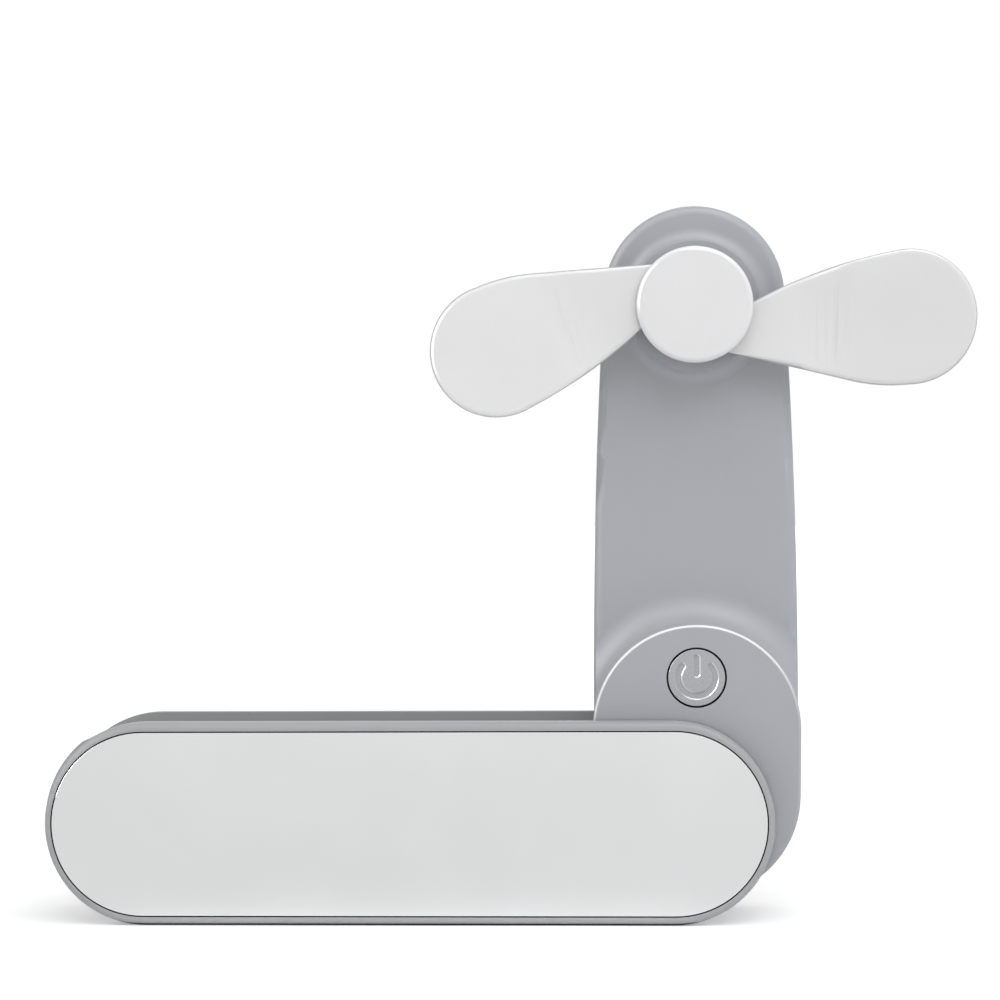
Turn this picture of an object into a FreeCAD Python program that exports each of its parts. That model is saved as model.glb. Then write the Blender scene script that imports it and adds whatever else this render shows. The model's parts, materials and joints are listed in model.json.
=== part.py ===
import FreeCAD, Part
import math
import os

import Sketcher

# Folding pocket fan with a vanity mirror.
# Frame: +X to the right, +Z up, +Y to the rear, millimetres.
# The object stands on the long straight edges of its two handle plates.
# The origin is on that surface, midway between the left end and the right blade's tip.

doc = FreeCAD.newDocument("pocket_fan")
sheet = doc.addObject("Spreadsheet::Sheet", "sizes")

SIZES = [
    # handle
    ("handle_length", 120.0),
    ("handle_width", 33.3),
    ("front_plate_thickness", 4.0),
    ("back_plate_thickness", 3.0),
    ("slot_depth", 19.0),
    ("plate_edge_radius", 1.1),
    ("mirror_end_margin", 1.25),
    ("mirror_side_margin", 1.6),
    ("mirror_thickness", 1.0),
    ("mirror_tape_thickness", 0.2),
    ("mirror_tape_margin", 1.5),
    ("mirror_sink", 0.1),
    ("mirror_clearance", 0.2),
    ("end_wall_thickness", 3.6),
    ("end_wall_overhang", 0.5),
    ("end_wall_half_angle", 61.5),
    ("end_wall_corner_radius", 3.0),
    # screws that hold the plates
    ("plate_screw_radius", 1.0),
    ("plate_screw_head_radius", 1.7),
    ("plate_screw_head_height", 1.1),
    ("plate_screw_length", 6.0),
    ("plate_screw_sink", 0.2),
    ("plate_screw_ring", 13.7),
    ("plate_screw_angle", 20.0),
    ("plate_screw_wall", 1.0),
    # pivot of the arm
    ("pivot_end_distance", 12.65),
    ("pivot_pin_radius", 3.0),
    ("pivot_spigot_radius", 2.4),
    ("pivot_spigot_length", 0.6),
    ("running_clearance", 0.05),
    ("washer_radius", 6.0),
    ("washer_thickness", 0.35),
    ("washer_gap", 0.05),
    # outline of the arm, heights above the pivot
    ("arm_end_radius", 16.95),
    ("arm_end_drop", 12.65),
    ("arm_side_radius", 1088.0),
    ("head_radius", 15.1),
    ("head_rise", 86.7),
    ("plateau_rise", 15.2),
    ("plateau_root_radius", 4.9),
    ("ramp_side_inset", 0.35),
    ("neck_thickness", 8.0),
    ("neck_edge_radius", 1.5),
    ("plateau_edge_radius", 0.5),
    ("rear_edge_radius", 1.2),
    # walls of the arm
    ("side_wall", 1.4),
    ("body_side_wall", 1.6),
    ("face_wall", 1.4),
    ("rear_shell_depth", 3.0),
    ("lip_height", 1.0),
    ("lip_thickness", 0.7),
    ("lip_clearance", 0.05),
    ("tube_wall", 1.4),
    # screws of the arm
    ("shell_screw_radius", 1.0),
    ("shell_screw_head_radius", 1.8),
    ("shell_screw_head_height", 1.0),
    ("shell_screw_length", 5.5),
    ("shell_screw_wall", 1.1),
    ("low_screw_angle", 35.0),
    ("neck_screw_rise", 46.5),
    ("head_screw_rise", 98.4),
    # button and electronics
    ("button_rise", 23.6),
    ("button_radius", 4.65),
    ("button_clearance", 0.33),
    ("button_travel", 0.5),
    ("button_flange_width", 1.1),
    ("button_flange_height", 0.7),
    ("button_stem_radius", 2.2),
    ("symbol_depth", 0.3),
    ("symbol_ring_radius", 2.85),
    ("symbol_line_width", 0.82),
    ("symbol_gap_half_angle", 51.0),
    ("switch_width", 6.0),
    ("switch_height", 3.5),
    ("switch_plunger_radius", 1.6),
    ("switch_plunger_rise", 0.6),
    ("board_thickness", 1.0),
    ("board_inset", 2.9),
    ("board_depth", 7.4),
    ("board_foot_gap", 3.2),
    ("board_screw_offset", 9.5),
    ("board_screw_rise", 12.0),
    ("board_screw_radius", 0.8),
    ("board_screw_head_radius", 1.5),
    ("board_screw_head_height", 0.8),
    ("board_screw_length", 4.0),
    ("board_post_radius", 1.9),
    ("port_width", 8.9),
    ("port_height", 3.2),
    ("port_length", 6.8),
    ("port_clearance", 0.25),
    ("port_recess", 0.9),
    ("chip_width", 5.0),
    ("chip_height", 1.2),
    ("battery_width", 25.0),
    ("battery_length", 35.0),
    ("battery_thickness", 4.8),
    ("battery_rise", 5.8),
    ("battery_tape_thickness", 0.3),
    # motor
    ("hub_rise", 84.9),
    ("motor_boss_radius", 10.9),
    ("motor_boss_height", 3.0),
    ("motor_boss_root_radius", 2.2),
    ("motor_radius", 9.4),
    ("motor_clearance", 0.1),
    ("motor_cradle_wall", 1.3),
    ("motor_wall", 0.6),
    ("motor_cap_thickness", 1.2),
    ("bush_radius", 2.0),
    ("bush_length", 1.6),
    ("shaft_radius", 0.8),
    ("magnet_thickness", 1.5),
    ("magnet_half_angle", 62.0),
    ("air_gap", 0.4),
    ("core_length", 2.6),
    ("winding_thickness", 0.7),
    ("commutator_radius", 2.4),
    ("commutator_length", 1.4),
    ("brush_width", 1.2),
    # rotor
    ("hub_gap", 0.4),
    ("hub_radius", 9.4),
    ("hub_base_thickness", 0.8),
    ("hub_boss_radius", 2.6),
    ("hub_post_radius", 1.6),
    ("hub_post_x", 5.8),
    ("hub_post_z", 4.6),
    ("hub_cap_radius", 9.6),
    ("hub_cap_thickness", 2.2),
    ("hub_cap_edge_radius", 0.9),
    ("layer_gap", 0.4),
    ("eye_gap", 0.1),
    ("blade_pin_radius", 1.2),
    ("blade_pin_x", 2.4),
    ("blade_pin_z", 6.3),
    ("blade_pin_head_radius", 2.1),
    ("blade_pin_head_height", 0.2),
    ("blade_pin_grip", 1.0),
    # blades, u along the blade from its pin, v across it towards the leading edge
    ("blade_thickness", 1.3),
    ("blade_pitch", 9.9),
    ("blade_flat_length", 13.5),
    ("blade_twist_length", 11.0),
    ("blade_eye_radius", 2.7),
    ("blade_tip_radius", 11.1),
    ("blade_tip_centre_u", 33.0),
    ("blade_tip_centre_v", -3.85),
    ("blade_lead_start", 0.8),
    ("blade_lead_u", 22.7),
    ("blade_lead_v", 6.35),
    ("blade_trail_u", 8.3),
    ("blade_trail_v", -7.4),
    ("blade_trail_bulge", 0.9),
    ("left_blade_droop", 17.5),
    ("right_blade_lift", 0.45),
    # wires
    ("wire_radius", 0.5),
]
NOTES = {
    "board_depth": "from the arm's front face to the front of the circuit board",
    "board_foot_gap": "from the arm's lower end up to the board's lower edge",
    "arm_end_drop": "from the pivot down to the arm's lower end",
    "low_screw_angle": "of the two low screws below the end circle's middle, in degrees",
    "left_blade_droop": "the left blade's angle below straight left, in degrees",
    "right_blade_lift": "the right blade's angle above straight right, in degrees",
}
for row, (alias, value) in enumerate(SIZES, start=1):
    sheet.set(f"A{row}", alias.replace("_", " "))
    sheet.set(f"B{row}", str(value))
    sheet.setAlias(f"B{row}", alias)
    sheet.set(f"C{row}", NOTES.get(alias, "mm, or degrees for an angle"))
doc.recompute()


def s(alias):
    """The expression that reads one size."""
    return f"sizes.{alias}"


def number(expression):
    """An expression's value now."""
    value = sheet.evalExpression(str(expression))
    return float(getattr(value, "Value", value))


# Places worked out from the sizes. Y runs from the front of the object to its rear.
FRONT_Y = f"(-({s('front_plate_thickness')} + {s('slot_depth')} + {s('back_plate_thickness')}) / 2)"
SLOT_FRONT_Y = f"({FRONT_Y} + {s('front_plate_thickness')})"
SLOT_BACK_Y = f"({SLOT_FRONT_Y} + {s('slot_depth')})"
BACK_Y = f"({SLOT_BACK_Y} + {s('back_plate_thickness')})"
MIRROR_LENGTH = f"({s('handle_length')} - 2 * {s('mirror_end_margin')})"
MIRROR_WIDTH = f"({s('handle_width')} - 2 * {s('mirror_side_margin')})"
MIRROR_FRONT_Y = f"({FRONT_Y} + {s('mirror_sink')})"
MIRROR_BACK_Y = f"({MIRROR_FRONT_Y} + {s('mirror_thickness')})"
RECESS_Y = f"({MIRROR_BACK_Y} + {s('mirror_tape_thickness')})"
BACK_SCREW_Y = f"({BACK_Y} - {s('plate_screw_sink')})"

END_RADIUS = f"({s('handle_width')} / 2)"
END_OFFSET = f"({s('handle_length')} / 2 - {END_RADIUS})"
PIVOT_FROM_MIDDLE = f"({s('handle_length')} / 2 - {s('pivot_end_distance')})"
TIP_REACH = (
    f"({s('blade_tip_centre_u')} * cos({s('right_blade_lift')} * 1 deg)"
    f" + {s('blade_tip_centre_v')} * sin({s('right_blade_lift')} * 1 deg)"
    f" + {s('blade_tip_radius')})"
)
HANDLE_X = (
    f"(({s('handle_length')} / 2 + {s('end_wall_overhang')} - {PIVOT_FROM_MIDDLE}"
    f" - {s('blade_pin_x')} - {TIP_REACH}) / 2)"
)
PIVOT_X = f"({HANDLE_X} + {PIVOT_FROM_MIDDLE})"
PIVOT_Z = END_RADIUS

ARM_END_RISE = f"({s('arm_end_radius')} - {s('arm_end_drop')})"
ARM_FRONT_Y = f"({SLOT_FRONT_Y} + {s('washer_thickness')} + {s('washer_gap')})"
ARM_BACK_Y = f"({SLOT_BACK_Y} - {s('washer_thickness')} - {s('washer_gap')})"
NECK_FRONT_Y = f"({ARM_BACK_Y} - {s('neck_thickness')})"
SPLIT_Y = f"({ARM_BACK_Y} - {s('rear_shell_depth')})"
BODY_FLOOR_Y = f"({ARM_FRONT_Y} + {s('face_wall')})"
NECK_FLOOR_Y = f"({NECK_FRONT_Y} + {s('face_wall')})"
REAR_FLOOR_Y = f"({ARM_BACK_Y} - {s('face_wall')})"
BOARD_FRONT_Y = f"({ARM_FRONT_Y} + {s('board_depth')})"
BOARD_BACK_Y = f"({BOARD_FRONT_Y} + {s('board_thickness')})"
BATTERY_BACK_Y = f"({NECK_FLOOR_Y} + {s('battery_tape_thickness')} + {s('battery_thickness')})"
BATTERY_FRONT_Y = f"({NECK_FLOOR_Y} + {s('battery_tape_thickness')})"

PORT_LOW_Z = f"({PIVOT_Z} - {s('arm_end_drop')} + {s('port_recess')})"
HUB_Z = f"({PIVOT_Z} + {s('hub_rise')})"
BOSS_FRONT_Y = f"({NECK_FRONT_Y} - {s('motor_boss_height')})"
MOTOR_FRONT_Y = f"({BOSS_FRONT_Y} + {s('face_wall')})"
MOTOR_CAP_Y = f"({REAR_FLOOR_Y} - {s('motor_cap_thickness')})"
HUB_BACK_Y = f"({BOSS_FRONT_Y} - {s('hub_gap')})"
HUB_FRONT_Y = f"({HUB_BACK_Y} - {s('hub_base_thickness')})"
REAR_EYE_BACK_Y = f"({HUB_FRONT_Y} - {s('eye_gap')})"
REAR_EYE_FRONT_Y = f"({REAR_EYE_BACK_Y} - {s('blade_thickness')})"
FRONT_EYE_BACK_Y = f"({REAR_EYE_FRONT_Y} - {s('layer_gap')})"
FRONT_EYE_FRONT_Y = f"({FRONT_EYE_BACK_Y} - {s('blade_thickness')})"
CAP_BACK_Y = f"({FRONT_EYE_FRONT_Y} - {s('layer_gap')})"
CAP_FRONT_Y = f"({CAP_BACK_Y} - {s('hub_cap_thickness')})"

FACING_REAR = FreeCAD.Rotation(FreeCAD.Vector(1, 0, 0), -90)
UPRIGHT_SKETCH = FreeCAD.Rotation(FreeCAD.Vector(1, 0, 0), 90)
REARWARD = FreeCAD.Vector(0, 1, 0)


def arm_z(rise):
    """The height of a place on the arm, given its rise above the pivot."""
    return f"({PIVOT_Z} + {rise})"


def place(item, x="0", y="0", z="0"):
    """Binds an item's position to expressions."""
    for axis, expression in zip("xyz", (x, y, z)):
        item.setExpression(f"Placement.Base.{axis}", str(expression))
    return item


def rod(name, radius, y_from, y_to, x="0", z="0"):
    """A cylinder whose axis points to the rear."""
    item = doc.addObject("Part::Cylinder", name)
    item.Placement.Rotation = FACING_REAR
    item.setExpression("Radius", str(radius))
    item.setExpression("Height", f"{y_to} - {y_from}")
    return place(item, x, y_from, z)


def block(name, x_from, x_to, y_from, y_to, z_from, z_to):
    """A box between two corners."""
    item = doc.addObject("Part::Box", name)
    item.setExpression("Length", f"{x_to} - {x_from}")
    item.setExpression("Width", f"{y_to} - {y_from}")
    item.setExpression("Height", f"{z_to} - {z_from}")
    return place(item, x_from, y_from, z_from)


def cross_slots(name, x, z, half_length, half_width, y_from, y_to):
    """The two crossed slots of a screw head, between two depths."""
    halves = [(half_length, half_width), (half_width, half_length)]
    return [
        block(
            f"{name}_{number_of}",
            f"({x} - {half_x})",
            f"({x} + {half_x})",
            y_from,
            y_to,
            f"({z} - {half_z})",
            f"({z} + {half_z})",
        )
        for number_of, (half_x, half_z) in enumerate(halves, start=1)
    ]


def join(name, pieces):
    item = doc.addObject("Part::MultiFuse", name)
    item.Shapes = pieces
    item.Refine = True
    return item


def overlap(name, pieces):
    item = doc.addObject("Part::MultiCommon", name)
    item.Shapes = pieces
    return item


def cut(name, base, tools):
    """The base with every tool taken out of it."""
    item = doc.addObject("Part::Cut", name)
    item.Base = base
    item.Tool = tools[0] if len(tools) == 1 else join(name + "_tools", tools)
    item.Refine = True
    return item


def group(name, pieces):
    """Several separate solids under one name."""
    item = doc.addObject("Part::Compound", name)
    item.Links = pieces
    return item


def prism(name, sketch, y_from, y_to):
    """An upright sketch pushed to the rear from one depth to another."""
    sketch.setExpression("Placement.Base.y", str(y_from))
    item = doc.addObject("Part::Extrusion", name)
    item.Base = sketch
    item.DirMode = "Custom"
    item.Dir = REARWARD
    item.Solid = True
    item.setExpression("LengthFwd", f"{y_to} - {y_from}")
    return item


def upright_sketch(name, x, z):
    """An empty sketch whose horizontal is X and whose vertical is Z."""
    sketch = doc.addObject("Sketcher::SketchObject", name)
    sketch.Placement.Rotation = UPRIGHT_SKETCH
    return place(sketch, x, "0", z)


def flat(x, z=0.0):
    """A point of a sketch."""
    return FreeCAD.Vector(x, z, 0)


def on_circle(centre, radius, degrees):
    angle = math.radians(degrees)
    return flat(centre.x + radius * math.cos(angle), centre.y + radius * math.sin(angle))


def rounded_edges(name, base, radius, wanted):
    """A fillet on the edges that the test picks."""
    doc.recompute()
    item = doc.addObject("Part::Fillet", name)
    item.Base = base
    size = number(radius)
    edges = enumerate(base.Shape.Edges, start=1)
    item.Edges = [(index, size, size) for index, edge in edges if wanted(edge)]
    return item


def lies_at_depth(y):
    """A test for edges that lie wholly at one depth."""
    depth = number(y)

    def wanted(edge):
        box = edge.BoundBox
        return abs(box.YMin - depth) < 0.001 and abs(box.YMax - depth) < 0.001

    return wanted


# ---------------------------------------------------------------- outlines


def stadium_sketch(name, length, width, inset="0", x=HANDLE_X):
    """A bar with round ends, centred on the handle or at x."""
    sketch = upright_sketch(name, x, PIVOT_Z)
    radius = number(f"{width} / 2 - {inset}")
    half = number(f"({length} - {width}) / 2")
    left, right = flat(-half), flat(half)
    upward = FreeCAD.Vector(0, 0, 1)
    right_end = Part.ArcOfCircle(Part.Circle(right, upward, radius), -math.pi / 2, math.pi / 2)
    left_end = Part.ArcOfCircle(Part.Circle(left, upward, radius), math.pi / 2, 3 * math.pi / 2)
    top = Part.LineSegment(flat(half, radius), flat(-half, radius))
    bottom = Part.LineSegment(flat(-half, -radius), flat(half, -radius))
    sketch.addGeometry([right_end, top, left_end, bottom], False)
    for first, second, start, end in ((0, 1, 2, 1), (1, 2, 2, 1), (2, 3, 2, 1), (3, 0, 2, 1)):
        sketch.addConstraint(Sketcher.Constraint("Tangent", first, start, second, end))
    sketch.addConstraint(Sketcher.Constraint("PointOnObject", 0, 3, -1))
    sketch.addConstraint(Sketcher.Constraint("Symmetric", 0, 3, 2, 3, -1, 1))
    reach = sketch.addConstraint(Sketcher.Constraint("DistanceX", -1, 1, 0, 3, half))
    size = sketch.addConstraint(Sketcher.Constraint("Radius", 0, radius))
    sketch.setExpression(f"Constraints[{reach}]", f"({length} - {width}) / 2")
    sketch.setExpression(f"Constraints[{size}]", f"{width} / 2 - {inset}")
    return sketch


def side_centre():
    """The centre of the arm's right side, an arc tangent to its two end circles."""
    low, high = number(ARM_END_RISE), number(s("head_rise"))
    side = number(s("arm_side_radius"))
    to_low = side - number(s("arm_end_radius"))
    to_high = side - number(s("head_radius"))
    apart = high - low
    along = (to_low**2 - to_high**2 + apart**2) / (2 * apart)
    return flat(-math.sqrt(to_low**2 - along**2), low + along)


def tangent_top_radius(rise):
    """The radius of a circle on the arm's middle line that touches both sides."""
    return number(s("arm_side_radius")) - side_centre().distanceToPoint(flat(0, rise))


def arm_sketch(name, top_rise, top_radius, inset=0.0):
    """The arm's outline, or one inside it: two end arcs and two long side arcs."""
    sketch = upright_sketch(name, PIVOT_X, PIVOT_Z)
    low, high = flat(0, number(ARM_END_RISE)), flat(0, top_rise)
    low_radius = number(s("arm_end_radius")) - inset
    high_radius = top_radius - inset
    centre = side_centre()
    side_radius = number(s("arm_side_radius")) - inset

    def beyond(middle, radius):
        step = middle.sub(centre)
        return middle.add(step.multiply(radius / step.Length))

    right_low, right_high = beyond(low, low_radius), beyond(high, high_radius)
    left_low, left_high = flat(-right_low.x, right_low.y), flat(-right_high.x, right_high.y)
    middle_z = (right_low.y + right_high.y) / 2
    middle_x = centre.x + math.sqrt(side_radius**2 - (middle_z - centre.y) ** 2)
    pieces = [
        Part.Arc(right_low, flat(middle_x, middle_z), right_high),
        Part.Arc(right_high, flat(0, top_rise + high_radius), left_high),
        Part.Arc(left_high, flat(-middle_x, middle_z), left_low),
        Part.Arc(left_low, flat(0, low.y - low_radius), right_low),
    ]
    sketch.addGeometry(pieces, False)
    return sketch


HEAD_TOP = number(s("head_rise")), number(s("head_radius"))
PLATEAU_TOP = number(s("plateau_rise")), tangent_top_radius(number(s("plateau_rise")))


# ---------------------------------------------------------------- handle


def plate_screw_places():
    """Two screws into the end wall and one into the pivot pin, as (x, z)."""
    ring, angle = s("plate_screw_ring"), f"({s('plate_screw_angle')} * 1 deg)"
    places = []
    for side in (-1, 1):
        x = f"({HANDLE_X} - {END_OFFSET} - {ring} * cos({angle}))"
        z = f"({PIVOT_Z} + {side} * {ring} * sin({angle}))"
        places.append((x, z))
    places.append((PIVOT_X, PIVOT_Z))
    return places


def plate_screw_holes(name, head_y, inward):
    """Clearance holes for three plate screws, entered from one face."""
    tools = []
    for index, (x, z) in enumerate(plate_screw_places(), start=1):
        hole_radius = f"({s('plate_screw_radius')} + 0.1)"
        head_radius = f"({s('plate_screw_head_radius')} + 0.1)"
        far = f"({head_y} + {inward} * {s('plate_screw_length')})"
        seat = f"({head_y} + {inward} * {s('plate_screw_head_height')})"
        outside = f"({head_y} - {inward} * 1)"
        ends = (outside, far) if inward > 0 else (far, outside)
        seats = (outside, seat) if inward > 0 else (seat, outside)
        tools.append(rod(f"{name}_hole_{index}", hole_radius, *ends, x, z))
        tools.append(rod(f"{name}_seat_{index}", head_radius, *seats, x, z))
    return tools


def pivot_seat(name, y_from, y_to):
    """The shallow socket in a plate that locates one end of the pivot pin."""
    return rod(name, s("pivot_spigot_radius"), y_from, y_to, PIVOT_X, PIVOT_Z)


def front_plate():
    outline = stadium_sketch("front_plate_outline", s("handle_length"), s("handle_width"))
    blank = prism("front_plate_blank", outline, FRONT_Y, SLOT_FRONT_Y)
    bezel = rounded_edges(
        "front_plate_bezel", blank, s("plate_edge_radius"), lies_at_depth(FRONT_Y)
    )
    recess_outline = stadium_sketch(
        "mirror_recess_outline",
        MIRROR_LENGTH,
        MIRROR_WIDTH,
        f"(-{s('mirror_clearance')})",
    )
    recess = prism("mirror_recess", recess_outline, f"({FRONT_Y} - 1)", RECESS_Y)
    seat = pivot_seat(
        "front_pivot_seat", f"({SLOT_FRONT_Y} - {s('pivot_spigot_length')})", f"({SLOT_FRONT_Y} + 1)"
    )
    holes = plate_screw_holes("front_plate", RECESS_Y, 1)
    return cut("front_plate", bezel, [recess, seat] + holes)


def back_plate():
    """The rear plate, which reaches as far left as the end wall."""
    overhang = s("end_wall_overhang")
    outline = stadium_sketch(
        "back_plate_outline",
        f"({s('handle_length')} + {overhang})",
        s("handle_width"),
        x=f"({HANDLE_X} - {overhang} / 2)",
    )
    blank = prism("back_plate_blank", outline, SLOT_BACK_Y, BACK_Y)
    shaped = rounded_edges(
        "back_plate_rim", blank, s("plate_edge_radius"), lies_at_depth(BACK_Y)
    )
    seat = pivot_seat(
        "rear_pivot_seat", f"({SLOT_BACK_Y} - 1)", f"({SLOT_BACK_Y} + {s('pivot_spigot_length')})"
    )
    holes = plate_screw_holes("back_plate", BACK_SCREW_Y, -1)
    return cut("back_plate", shaped, [seat] + holes)


def mirror():
    outline = stadium_sketch("mirror_outline", MIRROR_LENGTH, MIRROR_WIDTH)
    return prism("mirror", outline, MIRROR_FRONT_Y, MIRROR_BACK_Y)


def mirror_tape():
    outline = stadium_sketch(
        "mirror_tape_outline", MIRROR_LENGTH, MIRROR_WIDTH, s("mirror_tape_margin")
    )
    return prism("mirror_tape", outline, MIRROR_BACK_Y, RECESS_Y)


def end_wall():
    """The curved wall that joins the plates round the left end."""
    x = f"({HANDLE_X} - {END_OFFSET})"
    outer_radius = f"({END_RADIUS} + {s('end_wall_overhang')})"
    outer = rod("end_wall_outer", outer_radius, SLOT_FRONT_Y, SLOT_BACK_Y, x, PIVOT_Z)
    half = number(s("end_wall_half_angle"))
    outer.Angle = 2 * half
    outer.Placement.Rotation = FACING_REAR.multiply(
        FreeCAD.Rotation(FreeCAD.Vector(0, 0, 1), 180 - half)
    )
    inner = rod(
        "end_wall_inner",
        f"({outer_radius} - {s('end_wall_thickness')})",
        f"({SLOT_FRONT_Y} - 1)",
        f"({SLOT_BACK_Y} + 1)",
        x,
        PIVOT_Z,
    )
    centre_x, centre_z = number(x), number(PIVOT_Z)
    middle_radius = number(f"({outer_radius} - {s('end_wall_thickness')} / 2)")

    def outer_corner(edge):
        box = edge.BoundBox
        if box.XLength > 0.001 or box.ZLength > 0.001:
            return False
        return (box.XMin - centre_x) ** 2 + (box.ZMin - centre_z) ** 2 > middle_radius**2

    curve = cut("end_wall_curve", outer, [inner])
    wall = rounded_edges("end_wall_rounded", curve, s("end_wall_corner_radius"), outer_corner)
    bosses, drills = [], []
    boss_radius = f"({s('plate_screw_radius')} + {s('plate_screw_wall')})"
    for index, (hole_x, hole_z) in enumerate(plate_screw_places()[:2], start=1):
        bosses.append(
            rod(f"end_wall_boss_{index}", boss_radius, SLOT_FRONT_Y, SLOT_BACK_Y, hole_x, hole_z)
        )
        front_end = f"({RECESS_Y} + {s('plate_screw_length')})"
        rear_end = f"({BACK_SCREW_Y} - {s('plate_screw_length')})"
        radius = s("plate_screw_radius")
        drills.append(
            rod(f"end_wall_front_{index}", radius, SLOT_FRONT_Y, front_end, hole_x, hole_z)
        )
        drills.append(
            rod(f"end_wall_rear_{index}", radius, rear_end, SLOT_BACK_Y, hole_x, hole_z)
        )
    return cut("end_wall", join("end_wall_body", [wall] + bosses), drills)


def plate_screws(name, head_y, inward):
    """Three pan-head screws with a cross recess in each head."""
    screws = []
    for index, (x, z) in enumerate(plate_screw_places(), start=1):
        seat = f"({head_y} + {inward} * {s('plate_screw_head_height')})"
        tip = f"({head_y} + {inward} * {s('plate_screw_length')})"
        ends = (head_y, seat) if inward > 0 else (seat, head_y)
        shank_ends = (seat, tip) if inward > 0 else (tip, seat)
        head = rod(f"{name}_head_{index}", s("plate_screw_head_radius"), *ends, x, z)
        shank = rod(f"{name}_shank_{index}", s("plate_screw_radius"), *shank_ends, x, z)
        body = join(f"{name}_body_{index}", [head, shank])
        slot_floor = f"({head_y} + {inward} * 0.6)"
        slot_top = f"({head_y} - {inward} * 1)"
        slots = (slot_top, slot_floor) if inward > 0 else (slot_floor, slot_top)
        cross = cross_slots(f"{name}_cross_{index}", x, z, "1.3", "0.25", *slots)
        screws.append(cut(f"{name}_{index}", body, cross))
    return group(name, screws)


def pivot_pin():
    """The steel pin between the plates, tapped at both ends for its screws."""
    seat = s("pivot_spigot_length")
    pin = rod("pivot_shank", s("pivot_pin_radius"), SLOT_FRONT_Y, SLOT_BACK_Y, PIVOT_X, PIVOT_Z)
    spigot = rod(
        "pivot_spigot",
        s("pivot_spigot_radius"),
        f"({SLOT_FRONT_Y} - {seat})",
        f"({SLOT_BACK_Y} + {seat})",
        PIVOT_X,
        PIVOT_Z,
    )
    radius = s("plate_screw_radius")
    front_end = f"({RECESS_Y} + {s('plate_screw_length')})"
    rear_end = f"({BACK_SCREW_Y} - {s('plate_screw_length')})"
    front_drill = rod("pivot_front_thread", radius, FRONT_Y, front_end, PIVOT_X, PIVOT_Z)
    rear_drill = rod("pivot_rear_thread", radius, rear_end, BACK_Y, PIVOT_X, PIVOT_Z)
    body = join("pivot_body", [pin, spigot])
    return cut("pivot_pin", body, [front_drill, rear_drill])


def washer(name, y_from, y_to):
    disc = rod(name + "_disc", s("washer_radius"), y_from, y_to, PIVOT_X, PIVOT_Z)
    bore = rod(
        name + "_bore", s("pivot_pin_radius"), f"({y_from} - 1)", f"({y_to} + 1)", PIVOT_X, PIVOT_Z
    )
    return cut(name, disc, [bore])


# ---------------------------------------------------------------- arm


BOSS_BITE = "0.1"  # how far a boss at a wall runs into it


def shell_screw_places():
    """The four screws that close the arm, as (x, z)."""
    boss_radius = f"({s('shell_screw_radius')} + {s('shell_screw_wall')})"
    ring = f"({s('arm_end_radius')} - {s('side_wall')} - {boss_radius} + {BOSS_BITE})"
    angle = f"({s('low_screw_angle')} * 1 deg)"
    low = arm_z(f"({ARM_END_RISE} - {ring} * sin({angle}))")
    return [
        (f"({PIVOT_X} - {ring} * cos({angle}))", low),
        (f"({PIVOT_X} + {ring} * cos({angle}))", low),
        (PIVOT_X, arm_z(s("neck_screw_rise"))),
        (PIVOT_X, arm_z(s("head_screw_rise"))),
    ]


SHELL_SCREW_SEAT_Y = f"({ARM_BACK_Y} - {s('shell_screw_head_height')})"
SHELL_SCREW_TIP_Y = f"({SHELL_SCREW_SEAT_Y} - {s('shell_screw_length')})"
PIVOT_BORE = f"({s('pivot_pin_radius')} + {s('running_clearance')})"
PIVOT_TUBE = f"({PIVOT_BORE} + {s('tube_wall')})"


def concave_skirt(name, radius, root_radius, y_front, y_root, x, z):
    """A disc whose side flares out in a hollow curve where it meets the face below."""
    disc_radius, root = number(radius), number(root_radius)
    front, floor = number(y_front), number(y_root)
    root = min(root, floor - front - 0.2)
    edge = [
        Part.LineSegment(flat(0, front), flat(disc_radius, front)),
        Part.LineSegment(flat(disc_radius, front), flat(disc_radius, floor - root)),
        Part.Arc(
            flat(disc_radius, floor - root),
            on_circle(flat(disc_radius + root, floor - root), root, 135),
            flat(disc_radius + root, floor),
        ),
        Part.LineSegment(flat(disc_radius + root, floor), flat(disc_radius + root, floor + 0.5)),
        Part.LineSegment(flat(disc_radius + root, floor + 0.5), flat(0, floor + 0.5)),
        Part.LineSegment(flat(0, floor + 0.5), flat(0, front)),
    ]
    sketch = doc.addObject("Sketcher::SketchObject", name + "_profile")
    sketch.addGeometry(edge, False)
    place(sketch, x, "0", z)
    item = doc.addObject("Part::Revolution", name)
    item.Source = sketch
    item.Axis = FreeCAD.Vector(0, 1, 0)
    item.Angle = 360
    item.Solid = True
    item.setExpression("Base.x", str(x))
    item.setExpression("Base.z", str(z))
    return item


def screw_bosses(name, y_from, y_to, extra="0"):
    radius = f"({s('shell_screw_radius')} + {s('shell_screw_wall')} + {extra})"
    bosses = []
    for index, (x, z) in enumerate(shell_screw_places(), start=1):
        bosses.append(rod(f"{name}_{index}", radius, y_from, y_to, x, z))
    return bosses


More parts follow.
